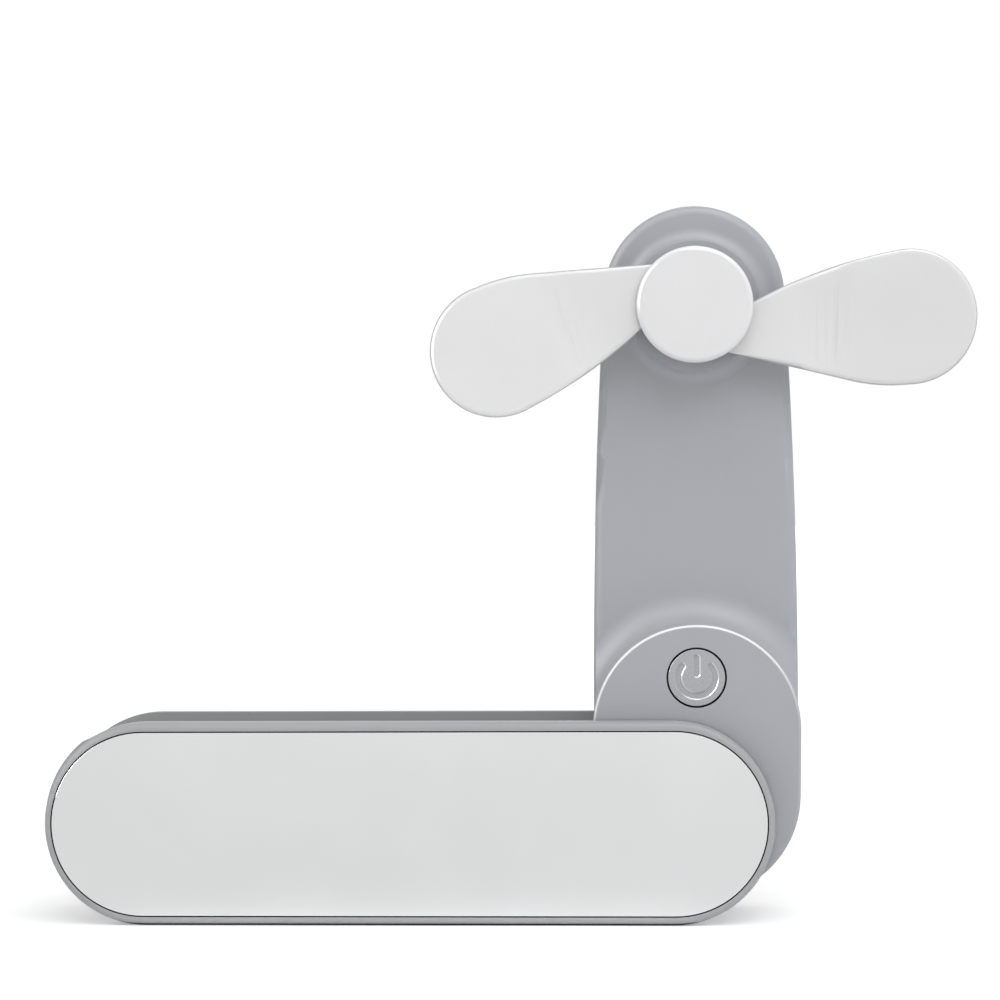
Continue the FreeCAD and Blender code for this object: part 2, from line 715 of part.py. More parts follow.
def arm_front_shell():
    neck_blank = prism(
        "neck_blank", arm_sketch("neck_outline", *HEAD_TOP), NECK_FRONT_Y, SPLIT_Y
    )
    neck = rounded_edges(
        "neck_edge", neck_blank, s("neck_edge_radius"), lies_at_depth(NECK_FRONT_Y)
    )
    body_blank = prism(
        "body_blank", arm_sketch("body_outline", *PLATEAU_TOP), ARM_FRONT_Y, SPLIT_Y
    )
    body = rounded_edges(
        "body_edge", body_blank, s("plateau_edge_radius"), lies_at_depth(ARM_FRONT_Y)
    )
    ramp_disc = concave_skirt(
        "ramp_disc",
        str(PLATEAU_TOP[1]),
        s("plateau_root_radius"),
        f"({ARM_FRONT_Y} + 2 * {s('plateau_edge_radius')})",
        NECK_FRONT_Y,
        PIVOT_X,
        arm_z(s("plateau_rise")),
    )
    ramp_foot = rod(
        "ramp_foot",
        f"({PLATEAU_TOP[1]} + {s('plateau_root_radius')})",
        NECK_FRONT_Y,
        SPLIT_Y,
        PIVOT_X,
        arm_z(s("plateau_rise")),
    )
    inset = number(s("ramp_side_inset"))
    limit_outline = arm_sketch("ramp_limit_outline", *HEAD_TOP, inset)
    within = prism("ramp_limit", limit_outline, ARM_FRONT_Y, SPLIT_Y)
    ramp = overlap("ramp", [join("ramp_blank", [ramp_disc, ramp_foot]), within])
    boss = concave_skirt(
        "motor_boss",
        s("motor_boss_radius"),
        s("motor_boss_root_radius"),
        BOSS_FRONT_Y,
        NECK_FRONT_Y,
        PIVOT_X,
        HUB_Z,
    )
    outside = join("front_shell_outside", [neck, body, ramp, boss])

    wall = number(s("side_wall"))
    body_room = prism(
        "body_room",
        arm_sketch("body_room_outline", *PLATEAU_TOP, number(s("body_side_wall"))),
        BODY_FLOOR_Y,
        f"({SPLIT_Y} + 1)",
    )
    neck_room = prism(
        "neck_room",
        arm_sketch("neck_room_outline", *HEAD_TOP, wall),
        NECK_FLOOR_Y,
        f"({SPLIT_Y} + 1)",
    )
    motor_room_radius = f"({s('motor_radius')} + {s('motor_clearance')})"
    motor_room = rod(
        "motor_room", motor_room_radius, MOTOR_FRONT_Y, f"({SPLIT_Y} + 1)", PIVOT_X, HUB_Z
    )
    hollow = cut("front_shell_hollow", outside, [body_room, neck_room, motor_room])

    cradle_radius = f"({motor_room_radius} + {s('motor_cradle_wall')})"
    cradle_top = f"({SPLIT_Y} - {s('lip_height')} - 0.1)"
    cradle_ring = rod("cradle_ring", cradle_radius, NECK_FRONT_Y, cradle_top, PIVOT_X, HUB_Z)
    cradle_core = rod(
        "cradle_core", motor_room_radius, MOTOR_FRONT_Y, f"({SPLIT_Y} + 1)", PIVOT_X, HUB_Z
    )
    cradle_notch = block(
        "cradle_notch",
        f"({PIVOT_X} - 6)",
        f"({PIVOT_X} + 6)",
        NECK_FLOOR_Y,
        f"({SPLIT_Y} + 1)",
        f"({HUB_Z} - {cradle_radius} - 1)",
        f"({HUB_Z} - 4)",
    )
    cradle = cut("motor_cradle", cradle_ring, [cradle_core, cradle_notch])
    inner_face = f"({NECK_FRONT_Y} + {s('face_wall')} / 2)"
    bosses = screw_bosses("front_boss", inner_face, SPLIT_Y)
    low_bosses = screw_bosses("low_boss", f"({ARM_FRONT_Y} + {s('face_wall')} / 2)", SPLIT_Y)[:2]
    doc.removeObject("low_boss_3")
    doc.removeObject("low_boss_4")
    tube = rod(
        "front_pivot_tube",
        PIVOT_TUBE,
        f"({ARM_FRONT_Y} + {s('face_wall')} / 2)",
        SPLIT_Y,
        PIVOT_X,
        PIVOT_Z,
    )
    posts = []
    for side in (-1, 1):
        posts.append(
            rod(
                f"board_post_{side + 2}",
                s("board_post_radius"),
                f"({ARM_FRONT_Y} + {s('face_wall')} / 2)",
                BOARD_FRONT_Y,
                f"({PIVOT_X} + {side} * {s('board_screw_offset')})",
                arm_z(s("board_screw_rise")),
            )
        )
    solid_parts = [hollow, cradle, tube] + bosses[2:] + low_bosses + posts
    doc.removeObject("front_boss_1")
    doc.removeObject("front_boss_2")
    filled = join("front_shell_filled", solid_parts)

    tools = [
        rod("front_pivot_bore", PIVOT_BORE, f"({ARM_FRONT_Y} - 1)", f"({SPLIT_Y} + 1)", PIVOT_X, PIVOT_Z),
        rod(
            "button_hole",
            f"({s('button_radius')} + {s('button_clearance')})",
            f"({ARM_FRONT_Y} - 1)",
            f"({BODY_FLOOR_Y} + 1)",
            PIVOT_X,
            arm_z(s("button_rise")),
        ),
        rod(
            "bush_hole",
            f"({s('bush_radius')} + {s('motor_clearance')})",
            f"({BOSS_FRONT_Y} - 1)",
            f"({MOTOR_FRONT_Y} + 1)",
            PIVOT_X,
            HUB_Z,
        ),
        block(
            "port_opening",
            f"({PIVOT_X} - {s('port_width')} / 2 - {s('port_clearance')})",
            f"({PIVOT_X} + {s('port_width')} / 2 + {s('port_clearance')})",
            f"({BOARD_FRONT_Y} - {s('port_height')} - {s('port_clearance')})",
            f"({BOARD_FRONT_Y} + {s('port_clearance')})",
            arm_z(f"(-{s('arm_end_drop')} - 1)"),
            f"({PORT_LOW_Z} + {s('port_length')} / 2)",
        ),
    ]
    for index, (x, z) in enumerate(shell_screw_places(), start=1):
        tools.append(
            rod(
                f"front_drill_{index}",
                s("shell_screw_radius"),
                SHELL_SCREW_TIP_Y,
                f"({SPLIT_Y} + 1)",
                x,
                z,
            )
        )
    for side in (-1, 1):
        tools.append(
            rod(
                f"board_drill_{side + 2}",
                s("board_screw_radius"),
                f"({BOARD_BACK_Y} - {s('board_screw_length')})",
                f"({BOARD_FRONT_Y} + 0.5)",
                f"({PIVOT_X} + {side} * {s('board_screw_offset')})",
                arm_z(s("board_screw_rise")),
            )
        )
    return cut("arm_front_shell", filled, tools)


def arm_rear_shell():
    blank = prism(
        "rear_blank", arm_sketch("rear_outline", *HEAD_TOP), SPLIT_Y, ARM_BACK_Y
    )
    outside = rounded_edges(
        "rear_edge", blank, s("rear_edge_radius"), lies_at_depth(ARM_BACK_Y)
    )
    wall = number(s("side_wall"))
    clearance = number(s("lip_clearance"))
    thickness = number(s("lip_thickness"))
    lip_outer = prism(
        "lip_outer",
        arm_sketch("lip_outline", *HEAD_TOP, wall + clearance),
        f"({SPLIT_Y} - {s('lip_height')})",
        f"({SPLIT_Y} + 0.5)",
    )
    lip_limit = block(
        "lip_limit",
        f"({PIVOT_X} - {s('arm_end_radius')})",
        f"({PIVOT_X} + {s('arm_end_radius')})",
        f"({SPLIT_Y} - {s('lip_height')} - 1)",
        f"({SPLIT_Y} + 1)",
        arm_z("4"),
        arm_z(f"({s('head_screw_rise')} - 4.5)"),
    )
    lip = overlap("lip_band", [lip_outer, lip_limit])
    room = prism(
        "rear_room",
        arm_sketch("rear_room_outline", *HEAD_TOP, wall + clearance + thickness),
        f"({SPLIT_Y} - {s('lip_height')} - 1)",
        REAR_FLOOR_Y,
    )
    tray = cut("rear_tray", join("rear_with_lip", [outside, lip]), [room])
    tube = rod("rear_pivot_tube", PIVOT_TUBE, SPLIT_Y, f"({ARM_BACK_Y} - 0.5)", PIVOT_X, PIVOT_Z)
    bosses = screw_bosses("rear_boss", SPLIT_Y, f"({ARM_BACK_Y} - 0.5)", "0.4")
    filled = join("rear_shell_filled", [tray, tube] + bosses)
    tools = [
        rod("rear_pivot_bore", PIVOT_BORE, f"({SPLIT_Y} - 1)", f"({ARM_BACK_Y} + 1)", PIVOT_X, PIVOT_Z)
    ]
    for index, (x, z) in enumerate(shell_screw_places(), start=1):
        hole_radius = f"({s('shell_screw_radius')} + 0.1)"
        head_radius = f"({s('shell_screw_head_radius')} + 0.1)"
        tools.append(
            rod(f"rear_hole_{index}", hole_radius, f"({SPLIT_Y} - 1)", f"({ARM_BACK_Y} + 1)", x, z)
        )
        tools.append(
            rod(f"rear_seat_{index}", head_radius, SHELL_SCREW_SEAT_Y, f"({ARM_BACK_Y} + 1)", x, z)
        )
    return cut("arm_rear_shell", filled, tools)


def arm_screws():
    screws = []
    for index, (x, z) in enumerate(shell_screw_places(), start=1):
        head_top = f"({ARM_BACK_Y} - 0.1)"
        head = rod(
            f"arm_screw_head_{index}", s("shell_screw_head_radius"), SHELL_SCREW_SEAT_Y, head_top, x, z
        )
        shank = rod(
            f"arm_screw_shank_{index}", s("shell_screw_radius"), SHELL_SCREW_TIP_Y, SHELL_SCREW_SEAT_Y, x, z
        )
        body = join(f"arm_screw_body_{index}", [head, shank])
        slots = f"({head_top} - 0.5)", f"({head_top} + 1)"
        cross = cross_slots(f"arm_screw_cross_{index}", x, z, "1", "0.2", *slots)
        screws.append(cut(f"arm_screw_{index}", body, cross))
    return group("arm_screws", screws)


def circuit_board():
    outline = arm_sketch("board_outline", *PLATEAU_TOP, number(s("board_inset")))
    blank = prism("board_blank", outline, BOARD_FRONT_Y, BOARD_BACK_Y)
    y_ends = f"({BOARD_FRONT_Y} - 1)", f"({BOARD_BACK_Y} + 1)"
    tools = [
        block(
            "board_foot_cut",
            f"({PIVOT_X} - {s('arm_end_radius')})",
            f"({PIVOT_X} + {s('arm_end_radius')})",
            *y_ends,
            arm_z(f"(-{s('arm_end_drop')} - 1)"),
            arm_z(f"(-{s('arm_end_drop')} + {s('board_foot_gap')})"),
        ),
        rod("board_tube_hole", f"({PIVOT_TUBE} + 0.2)", *y_ends, PIVOT_X, PIVOT_Z),
    ]
    boss_radius = f"({s('shell_screw_radius')} + {s('shell_screw_wall')} + 0.3)"
    for index, (x, z) in enumerate(shell_screw_places()[:2], start=1):
        tools.append(rod(f"board_notch_{index}", boss_radius, *y_ends, x, z))
    for side in (-1, 1):
        tools.append(
            rod(
                f"board_hole_{side + 2}",
                f"({s('board_screw_radius')} + 0.1)",
                *y_ends,
                f"({PIVOT_X} + {side} * {s('board_screw_offset')})",
                arm_z(s("board_screw_rise")),
            )
        )
    return cut("circuit_board", blank, tools)


def board_screws():
    screws = []
    for side in (-1, 1):
        x = f"({PIVOT_X} + {side} * {s('board_screw_offset')})"
        z = arm_z(s("board_screw_rise"))
        head = rod(
            f"board_screw_head_{side + 2}",
            s("board_screw_head_radius"),
            BOARD_BACK_Y,
            f"({BOARD_BACK_Y} + {s('board_screw_head_height')})",
            x,
            z,
        )
        shank = rod(
            f"board_screw_shank_{side + 2}",
            s("board_screw_radius"),
            f"({BOARD_BACK_Y} - {s('board_screw_length')})",
            BOARD_BACK_Y,
            x,
            z,
        )
        screws.append(join(f"board_screw_{side + 2}", [head, shank]))
    return group("board_screws", screws)


SWITCH_FRONT_Y = f"({BOARD_FRONT_Y} - {s('switch_height')})"
PLUNGER_FRONT_Y = f"({SWITCH_FRONT_Y} - {s('switch_plunger_rise')})"
PLUNGER_DEPTH = "1.4"


def switch_body():
    half = f"{s('switch_width')} / 2"
    case = block(
        "switch_case",
        f"({PIVOT_X} - {half})",
        f"({PIVOT_X} + {half})",
        SWITCH_FRONT_Y,
        BOARD_FRONT_Y,
        arm_z(f"({s('button_rise')} - {half})"),
        arm_z(f"({s('button_rise')} + {half})"),
    )
    well = rod(
        "switch_well",
        f"({s('switch_plunger_radius')} + 0.1)",
        f"({SWITCH_FRONT_Y} - 1)",
        f"({SWITCH_FRONT_Y} + {PLUNGER_DEPTH} + {s('button_travel')} + 0.2)",
        PIVOT_X,
        arm_z(s("button_rise")),
    )
    return cut("switch_body", case, [well])


def switch_plunger():
    return rod(
        "switch_plunger",
        s("switch_plunger_radius"),
        PLUNGER_FRONT_Y,
        f"({SWITCH_FRONT_Y} + {PLUNGER_DEPTH})",
        PIVOT_X,
        arm_z(s("button_rise")),
    )


def button_cap():
    """The button, flush with the arm's face, with an on/off sign sunk into it."""
    x, z = PIVOT_X, arm_z(s("button_rise"))
    flange_front = f"({BODY_FLOOR_Y} + {s('washer_gap')})"
    flange_back = f"({flange_front} + {s('button_flange_height')})"
    disc = rod("button_disc", s("button_radius"), ARM_FRONT_Y, flange_front, x, z)
    flange_radius = f"({s('button_radius')} + {s('button_flange_width')})"
    flange = rod("button_flange", flange_radius, flange_front, flange_back, x, z)
    stem = rod("button_stem", s("button_stem_radius"), flange_back, PLUNGER_FRONT_Y, x, z)
    body = join("button_body", [disc, flange, stem])

    ring_radius, line = s("symbol_ring_radius"), s("symbol_line_width")
    y_ends = f"({ARM_FRONT_Y} - 1)", f"({ARM_FRONT_Y} + {s('symbol_depth')})"
    ring_outer = rod("sign_ring_outer", f"({ring_radius} + {line} / 2)", *y_ends, x, z)
    gap_half = number(s("symbol_gap_half_angle"))
    ring_outer.Angle = 360 - 2 * gap_half
    ring_outer.Placement.Rotation = FACING_REAR.multiply(
        FreeCAD.Rotation(FreeCAD.Vector(0, 0, 1), gap_half - 90)
    )
    ring_inner = rod("sign_ring_inner", f"({ring_radius} - {line} / 2)", *y_ends, x, z)
    ring = cut("sign_ring", ring_outer, [ring_inner])
    gap = f"({s('symbol_gap_half_angle')} * 1 deg)"
    end_z = arm_z(f"({s('button_rise')} + {ring_radius} * cos({gap}))")
    left_x, right_x = f"({x} - {ring_radius} * sin({gap}))", f"({x} + {ring_radius} * sin({gap}))"
    bar_low = arm_z(f"({s('button_rise')} + {line} * 0.7)")
    bar_high = arm_z(f"({s('button_rise')} + {ring_radius} + {line} * 0.3)")
    bar = block("sign_bar", f"({x} - {line} / 2)", f"({x} + {line} / 2)", *y_ends, bar_low, bar_high)
    round_ends = [
        rod("sign_ring_left", f"({line} / 2)", *y_ends, left_x, end_z),
        rod("sign_ring_right", f"({line} / 2)", *y_ends, right_x, end_z),
        rod("sign_bar_low", f"({line} / 2)", *y_ends, x, bar_low),
        rod("sign_bar_high", f"({line} / 2)", *y_ends, x, bar_high),
    ]
    sign = join("sign", [ring, bar] + round_ends)
    return cut("button_cap", body, [sign])


def charging_port():
    """A socket's metal shell on the board's lower edge, open downwards."""
    half = f"{s('port_width')} / 2"
    back_y, front_y = BOARD_FRONT_Y, f"({BOARD_FRONT_Y} - {s('port_height')})"
    low, high = PORT_LOW_Z, f"({PORT_LOW_Z} + {s('port_length')})"
    case = block("port_case", f"({PIVOT_X} - {half})", f"({PIVOT_X} + {half})", front_y, back_y, low, high)
    rounded = rounded_edges("port_rounded", case, "1.2", lambda edge: edge.BoundBox.ZLength > 4)
    mouth = block(
        "port_mouth",
        f"({PIVOT_X} - {half} + 0.4)",
        f"({PIVOT_X} + {half} - 0.4)",
        f"({front_y} + 0.4)",
        f"({back_y} - 0.4)",
        f"({low} - 1)",
        f"({high} - 0.6)",
    )
    tongue = block(
        "port_tongue",
        f"({PIVOT_X} - {half} + 1.4)",
        f"({PIVOT_X} + {half} - 1.4)",
        f"({front_y} + {s('port_height')} / 2 - 0.35)",
        f"({front_y} + {s('port_height')} / 2 + 0.35)",
        f"({low} + 0.7)",
        f"({high} - 0.5)",
    )
    return join("charging_port", [cut("port_shell", rounded, [mouth]), tongue])


def control_chip():
    half = f"{s('chip_width')} / 2"
    centre_x, centre_z = f"({PIVOT_X} - 4)", arm_z("16")
    return block(
        "control_chip",
        f"({centre_x} - {half})",
        f"({centre_x} + {half})",
        BOARD_BACK_Y,
        f"({BOARD_BACK_Y} + {s('chip_height')})",
        f"({centre_z} - {half})",
        f"({centre_z} + {half})",
    )


def battery_block(name, inset, y_from, y_to):
    half = f"({s('battery_width')} / 2 - {inset})"
    low = arm_z(f"({s('battery_rise')} + {inset})")
    high = arm_z(f"({s('battery_rise')} + {s('battery_length')} - {inset})")
    return block(name, f"({PIVOT_X} - {half})", f"({PIVOT_X} + {half})", y_from, y_to, low, high)


def battery_cell():
    case = battery_block("battery_case", "0", BATTERY_FRONT_Y, BATTERY_BACK_Y)
    return rounded_edges("battery_cell", case, "1.2", lambda edge: edge.BoundBox.ZLength > 5)


def battery_tape():
    """The strip that holds the cell to the neck's front wall, above the thick part."""
    half = f"({s('battery_width')} / 2 - 3)"
    low = arm_z(str(sum(PLATEAU_TOP)))
    high = arm_z(f"({s('battery_rise')} + {s('battery_length')} - 1)")
    return block(
        "battery_tape",
        f"({PIVOT_X} - {half})",
        f"({PIVOT_X} + {half})",
        NECK_FLOOR_Y,
        BATTERY_FRONT_Y,
        low,
        high,
    )


# ---------------------------------------------------------------- motor

MAGNET_OUTER = f"({s('motor_radius')} - {s('motor_wall')})"
MAGNET_INNER = f"({MAGNET_OUTER} - {s('magnet_thickness')})"
CORE_RADIUS = f"({MAGNET_INNER} - {s('air_gap')})"
CORE_FRONT_Y = f"({MOTOR_FRONT_Y} + {s('bush_length')} + {s('air_gap')} + {s('winding_thickness')})"
CORE_BACK_Y = f"({CORE_FRONT_Y} + {s('core_length')})"
WINDING_BACK_Y = f"({CORE_BACK_Y} + {s('winding_thickness')})"
SHAFT_BORE = f"({s('shaft_radius')} + {s('running_clearance')} / 2)"


def motor_can():
    body = rod("can_outer", s("motor_radius"), MOTOR_FRONT_Y, MOTOR_CAP_Y, PIVOT_X, HUB_Z)
    room = rod(
        "can_inner",
        MAGNET_OUTER,
        f"({MOTOR_FRONT_Y} + {s('motor_wall')})",
        f"({MOTOR_CAP_Y} + 1)",
        PIVOT_X,
        HUB_Z,
    )
    bore = rod(
        "can_bore", s("bush_radius"), f"({MOTOR_FRONT_Y} - 1)", f"({MOTOR_FRONT_Y} + 2)", PIVOT_X, HUB_Z
    )
    return cut("motor_can", body, [room, bore])


def motor_end_cap():
    body = rod("end_cap_disc", s("motor_radius"), MOTOR_CAP_Y, REAR_FLOOR_Y, PIVOT_X, HUB_Z)
    bore = rod(
        "end_cap_bore",
        s("bush_radius"),
        f"({MOTOR_CAP_Y} - 1)",
        f"({REAR_FLOOR_Y} + 1)",
        PIVOT_X,
        HUB_Z,
    )
    return cut("motor_end_cap", body, [bore])


def bush(name, y_from, y_to):
    body = rod(name + "_body", s("bush_radius"), y_from, y_to, PIVOT_X, HUB_Z)
    bore = rod(name + "_bore", SHAFT_BORE, f"({y_from} - 1)", f"({y_to} + 1)", PIVOT_X, HUB_Z)
    return cut(name, body, [bore])


def motor_magnets():
    """Two arc magnets inside the can, left and right."""
    half = number(s("magnet_half_angle"))
    y_from = f"({MOTOR_FRONT_Y} + {s('motor_wall')} + 0.2)"
    y_to = f"({WINDING_BACK_Y} - 0.2)"
    magnets = []
    for index, middle in enumerate((0, 180), start=1):
        outer = rod(f"magnet_outer_{index}", MAGNET_OUTER, y_from, y_to, PIVOT_X, HUB_Z)
        outer.Angle = 2 * half
        outer.Placement.Rotation = FACING_REAR.multiply(
            FreeCAD.Rotation(FreeCAD.Vector(0, 0, 1), middle - half)
        )
        inner = rod(
            f"magnet_inner_{index}", MAGNET_INNER, f"({y_from} - 1)", f"({y_to} + 1)", PIVOT_X, HUB_Z
        )
        magnets.append(cut(f"magnet_{index}", outer, [inner]))
    return group("motor_magnets", magnets)


def armature_core():
    """Three wide poles on a round hub."""
    outer = rod("core_disc", CORE_RADIUS, CORE_FRONT_Y, CORE_BACK_Y, PIVOT_X, HUB_Z)
    shaft_hole = rod(
        "core_bore", s("shaft_radius"), f"({CORE_FRONT_Y} - 1)", f"({CORE_BACK_Y} + 1)", PIVOT_X, HUB_Z
    )
    tools = [shaft_hole]
    for index in range(3):
        angle = math.radians(30 + 120 * index)
        distance = f"({CORE_RADIUS} - 0.6)"
        x = f"({PIVOT_X} + {distance} * {math.cos(angle)})"
        z = f"({HUB_Z} + {distance} * {math.sin(angle)})"
        tools.append(
            rod(f"core_slot_{index + 1}", "1.6", f"({CORE_FRONT_Y} - 1)", f"({CORE_BACK_Y} + 1)", x, z)
        )
    return cut("armature_core", outer, tools)


def armature_windings():
    """The copper that shows before and behind the core."""
    coils = []
    faces = (
        (f"({CORE_FRONT_Y} - {s('winding_thickness')})", CORE_FRONT_Y),
        (CORE_BACK_Y, WINDING_BACK_Y),
    )
    for index, (y_from, y_to) in enumerate(faces, start=1):
        ring = rod(f"winding_outer_{index}", f"({CORE_RADIUS} - 1)", y_from, y_to, PIVOT_X, HUB_Z)
        hole = rod(
            f"winding_inner_{index}",
            f"({s('commutator_radius')} + 0.3)",
            f"({y_from} - 1)",
            f"({y_to} + 1)",
            PIVOT_X,
            HUB_Z,
        )
        coils.append(cut(f"winding_{index}", ring, [hole]))
    return group("armature_windings", coils)


COMMUTATOR_BACK_Y = f"({CORE_BACK_Y} + {s('commutator_length')})"


def commutator():
    body = rod(
        "commutator_body", s("commutator_radius"), CORE_BACK_Y, COMMUTATOR_BACK_Y, PIVOT_X, HUB_Z
    )
    bore = rod(
        "commutator_bore",
        s("shaft_radius"),
        f"({CORE_BACK_Y} - 1)",
        f"({COMMUTATOR_BACK_Y} + 1)",
        PIVOT_X,
        HUB_Z,
    )
    return cut("commutator", body, [bore])


def motor_brushes():
    """Two spring strips from the end cap that press on the commutator's sides."""
    y_from = f"({WINDING_BACK_Y} + 0.15)"
    strips = []
    for index, side in enumerate((-1, 1), start=1):
        near = f"({s('commutator_radius')} + {s('running_clearance')})"
        far = f"({near} + 0.5)"
        x_from, x_to = (near, far) if side > 0 else (f"(-{far})", f"(-{near})")
        strips.append(
            block(
                f"brush_{index}",
                f"({PIVOT_X} + {x_from})",
                f"({PIVOT_X} + {x_to})",
                y_from,
                MOTOR_CAP_Y,
                f"({HUB_Z} - {s('brush_width')} / 2)",
                f"({HUB_Z} + {s('brush_width')} / 2)",
            )
        )
    return group("motor_brushes", strips)


def motor_shaft():
    return rod(
        "motor_shaft",
        s("shaft_radius"),
        f"({HUB_FRONT_Y} - {s('blade_thickness')})",
        f"({REAR_FLOOR_Y} - 0.2)",
        PIVOT_X,
        HUB_Z,
    )


# ---------------------------------------------------------------- rotor

FRONT_PIN_X = f"({PIVOT_X} - {s('blade_pin_x')})"
FRONT_PIN_Z = f"({HUB_Z} + {s('blade_pin_z')})"
REAR_PIN_X = f"({PIVOT_X} + {s('blade_pin_x')})"
REAR_PIN_Z = f"({HUB_Z} - {s('blade_pin_z')})"
POST_X = f"({PIVOT_X} + {s('hub_post_x')})"
POST_Z = f"({HUB_Z} + {s('hub_post_z')})"
GRIP_FRONT_Y = f"({CAP_BACK_Y} - {s('blade_pin_grip')})"


def hub_base():
    """The carrier on the motor shaft, with a post that the cap presses onto."""
    disc = rod("hub_disc", s("hub_radius"), HUB_FRONT_Y, HUB_BACK_Y, PIVOT_X, HUB_Z)
    boss_front = f"({HUB_FRONT_Y} - {s('blade_thickness')})"
    boss = rod("hub_boss", s("hub_boss_radius"), boss_front, HUB_FRONT_Y, PIVOT_X, HUB_Z)
    foot_radius = f"({s('hub_post_radius')} + 0.6)"
    post_foot = rod("hub_post_foot", foot_radius, CAP_BACK_Y, HUB_FRONT_Y, POST_X, POST_Z)
    post = rod("hub_post", s("hub_post_radius"), GRIP_FRONT_Y, HUB_FRONT_Y, POST_X, POST_Z)
    body = join("hub_body", [disc, boss, post_foot, post])
    tools = [
        rod("hub_bore", s("shaft_radius"), f"({boss_front} - 1)", f"({HUB_BACK_Y} + 1)", PIVOT_X, HUB_Z)
    ]
    for name, x, z in (("front", FRONT_PIN_X, FRONT_PIN_Z), ("rear", REAR_PIN_X, REAR_PIN_Z)):
        tools.append(
            rod(
                f"hub_{name}_pin_hole",
                s("blade_pin_radius"),
                f"({HUB_FRONT_Y} - 1)",
                f"({HUB_BACK_Y} + 1)",
                x,
                z,
            )
        )
    return cut("hub_base", body, tools)


def hub_cap():
    disc = rod("cap_disc", s("hub_cap_radius"), CAP_FRONT_Y, CAP_BACK_Y, PIVOT_X, HUB_Z)
    rounded = rounded_edges("cap_rounded", disc, s("hub_cap_edge_radius"), lies_at_depth(CAP_FRONT_Y))
    y_ends = GRIP_FRONT_Y, f"({CAP_BACK_Y} + 1)"
    pin_hole = rod("cap_pin_hole", s("blade_pin_radius"), *y_ends, FRONT_PIN_X, FRONT_PIN_Z)
    post_hole = rod("cap_post_hole", s("hub_post_radius"), *y_ends, POST_X, POST_Z)
    return cut("hub_cap", rounded, [pin_hole, post_hole])


def front_blade_pin():
    """The stepped pin of the front blade, which also carries the cap."""
    pin = rod(
        "front_pin_shank", s("blade_pin_radius"), GRIP_FRONT_Y, HUB_BACK_Y, FRONT_PIN_X, FRONT_PIN_Z
    )
    collar = rod(
        "front_pin_collar",
        s("blade_pin_head_radius"),
        f"({FRONT_EYE_BACK_Y} + {s('eye_gap')})",
        HUB_FRONT_Y,
        FRONT_PIN_X,
        FRONT_PIN_Z,
    )
    return join("front_blade_pin", [pin, collar])


def rear_blade_pin():
    """The rear blade's pin, with a thin head under the front blade."""
    head_back = f"({REAR_EYE_FRONT_Y} - {s('eye_gap')})"
    head_front = f"({head_back} - {s('blade_pin_head_height')})"
    pin = rod("rear_pin_shank", s("blade_pin_radius"), head_front, HUB_BACK_Y, REAR_PIN_X, REAR_PIN_Z)
    head = rod("rear_pin_head", s("blade_pin_head_radius"), head_front, head_back, REAR_PIN_X, REAR_PIN_Z)
    return join("rear_blade_pin", [pin, head])


def blade_outline():
    """The blade seen from the front, pin at the origin, leading edge downwards."""
    tip = flat(number(s("blade_tip_centre_u")), -number(s("blade_tip_centre_v")))
    radius = number(s("blade_tip_radius"))
    root_lead = flat(0, -number(s("blade_lead_start")))
    lead = flat(number(s("blade_lead_u")), -number(s("blade_lead_v")))
    lead_end = on_circle(tip, radius, -90)
    trail_start = on_circle(tip, radius, 98)
    trail = flat(number(s("blade_trail_u")), -number(s("blade_trail_v")))
    root_trail = flat(0, number(s("blade_eye_radius")))
    slope = lead.sub(root_lead)
    run = (lead_end.x - lead.x) * 0.52
    lead_bend = flat(lead.x + run, lead.y + 0.72 * run * slope.y / slope.x)
    middle = trail.add(trail_start).multiply(0.5)
    chord = trail_start.sub(trail)
    outward = flat(-chord.y, chord.x).multiply(number(s("blade_trail_bulge")) / chord.Length)
    edges = [
        Part.LineSegment(root_lead, lead),
        Part.Arc(lead, lead_bend, lead_end),
        Part.Arc(lead_end, on_circle(tip, radius, 4), trail_start),
        Part.Arc(trail_start, middle.add(outward), trail),
        Part.LineSegment(trail, root_trail),
        Part.LineSegment(root_trail, root_lead),
    ]
    return Part.Face(Part.Wire([edge.toShape() for edge in edges]))


def twisted_sheet():
    """A sheet of the blade's thickness, flat at the root and pitched towards the tip."""
    pitch = number(s("blade_pitch"))
    start, length = number(s("blade_flat_length")), number(s("blade_twist_length"))
    half = number(s("blade_thickness")) / 2
    steps = 8
    root = -2 * number(s("blade_eye_radius"))
    stations = [(root, 0.0), (start / 2, 0.0)]
    for step in range(steps + 1):
        share = step / steps
        stations.append((start + share * length, pitch * (3 * share**2 - 2 * share**3)))
    tip_radius = number(s("blade_tip_radius"))
    reach = number(s("blade_tip_centre_u")) + 1.5 * tip_radius
    wide = 2 * tip_radius
    stations.append(((start + length + reach) / 2, pitch))
    stations.append((reach, pitch))
    sections = []
    for u, angle in stations:
        corners = [(-wide, -half), (wide, -half), (wide, half), (-wide, half)]
        turn = FreeCAD.Rotation(FreeCAD.Vector(1, 0, 0), angle)
        points = [turn.multVec(FreeCAD.Vector(0, y, z)) for z, y in corners]
        points = [point.add(FreeCAD.Vector(u, 0, 0)) for point in points]
        sections.append(Part.makePolygon(points + points[:1]))
    return Part.makeLoft(sections, True, True)


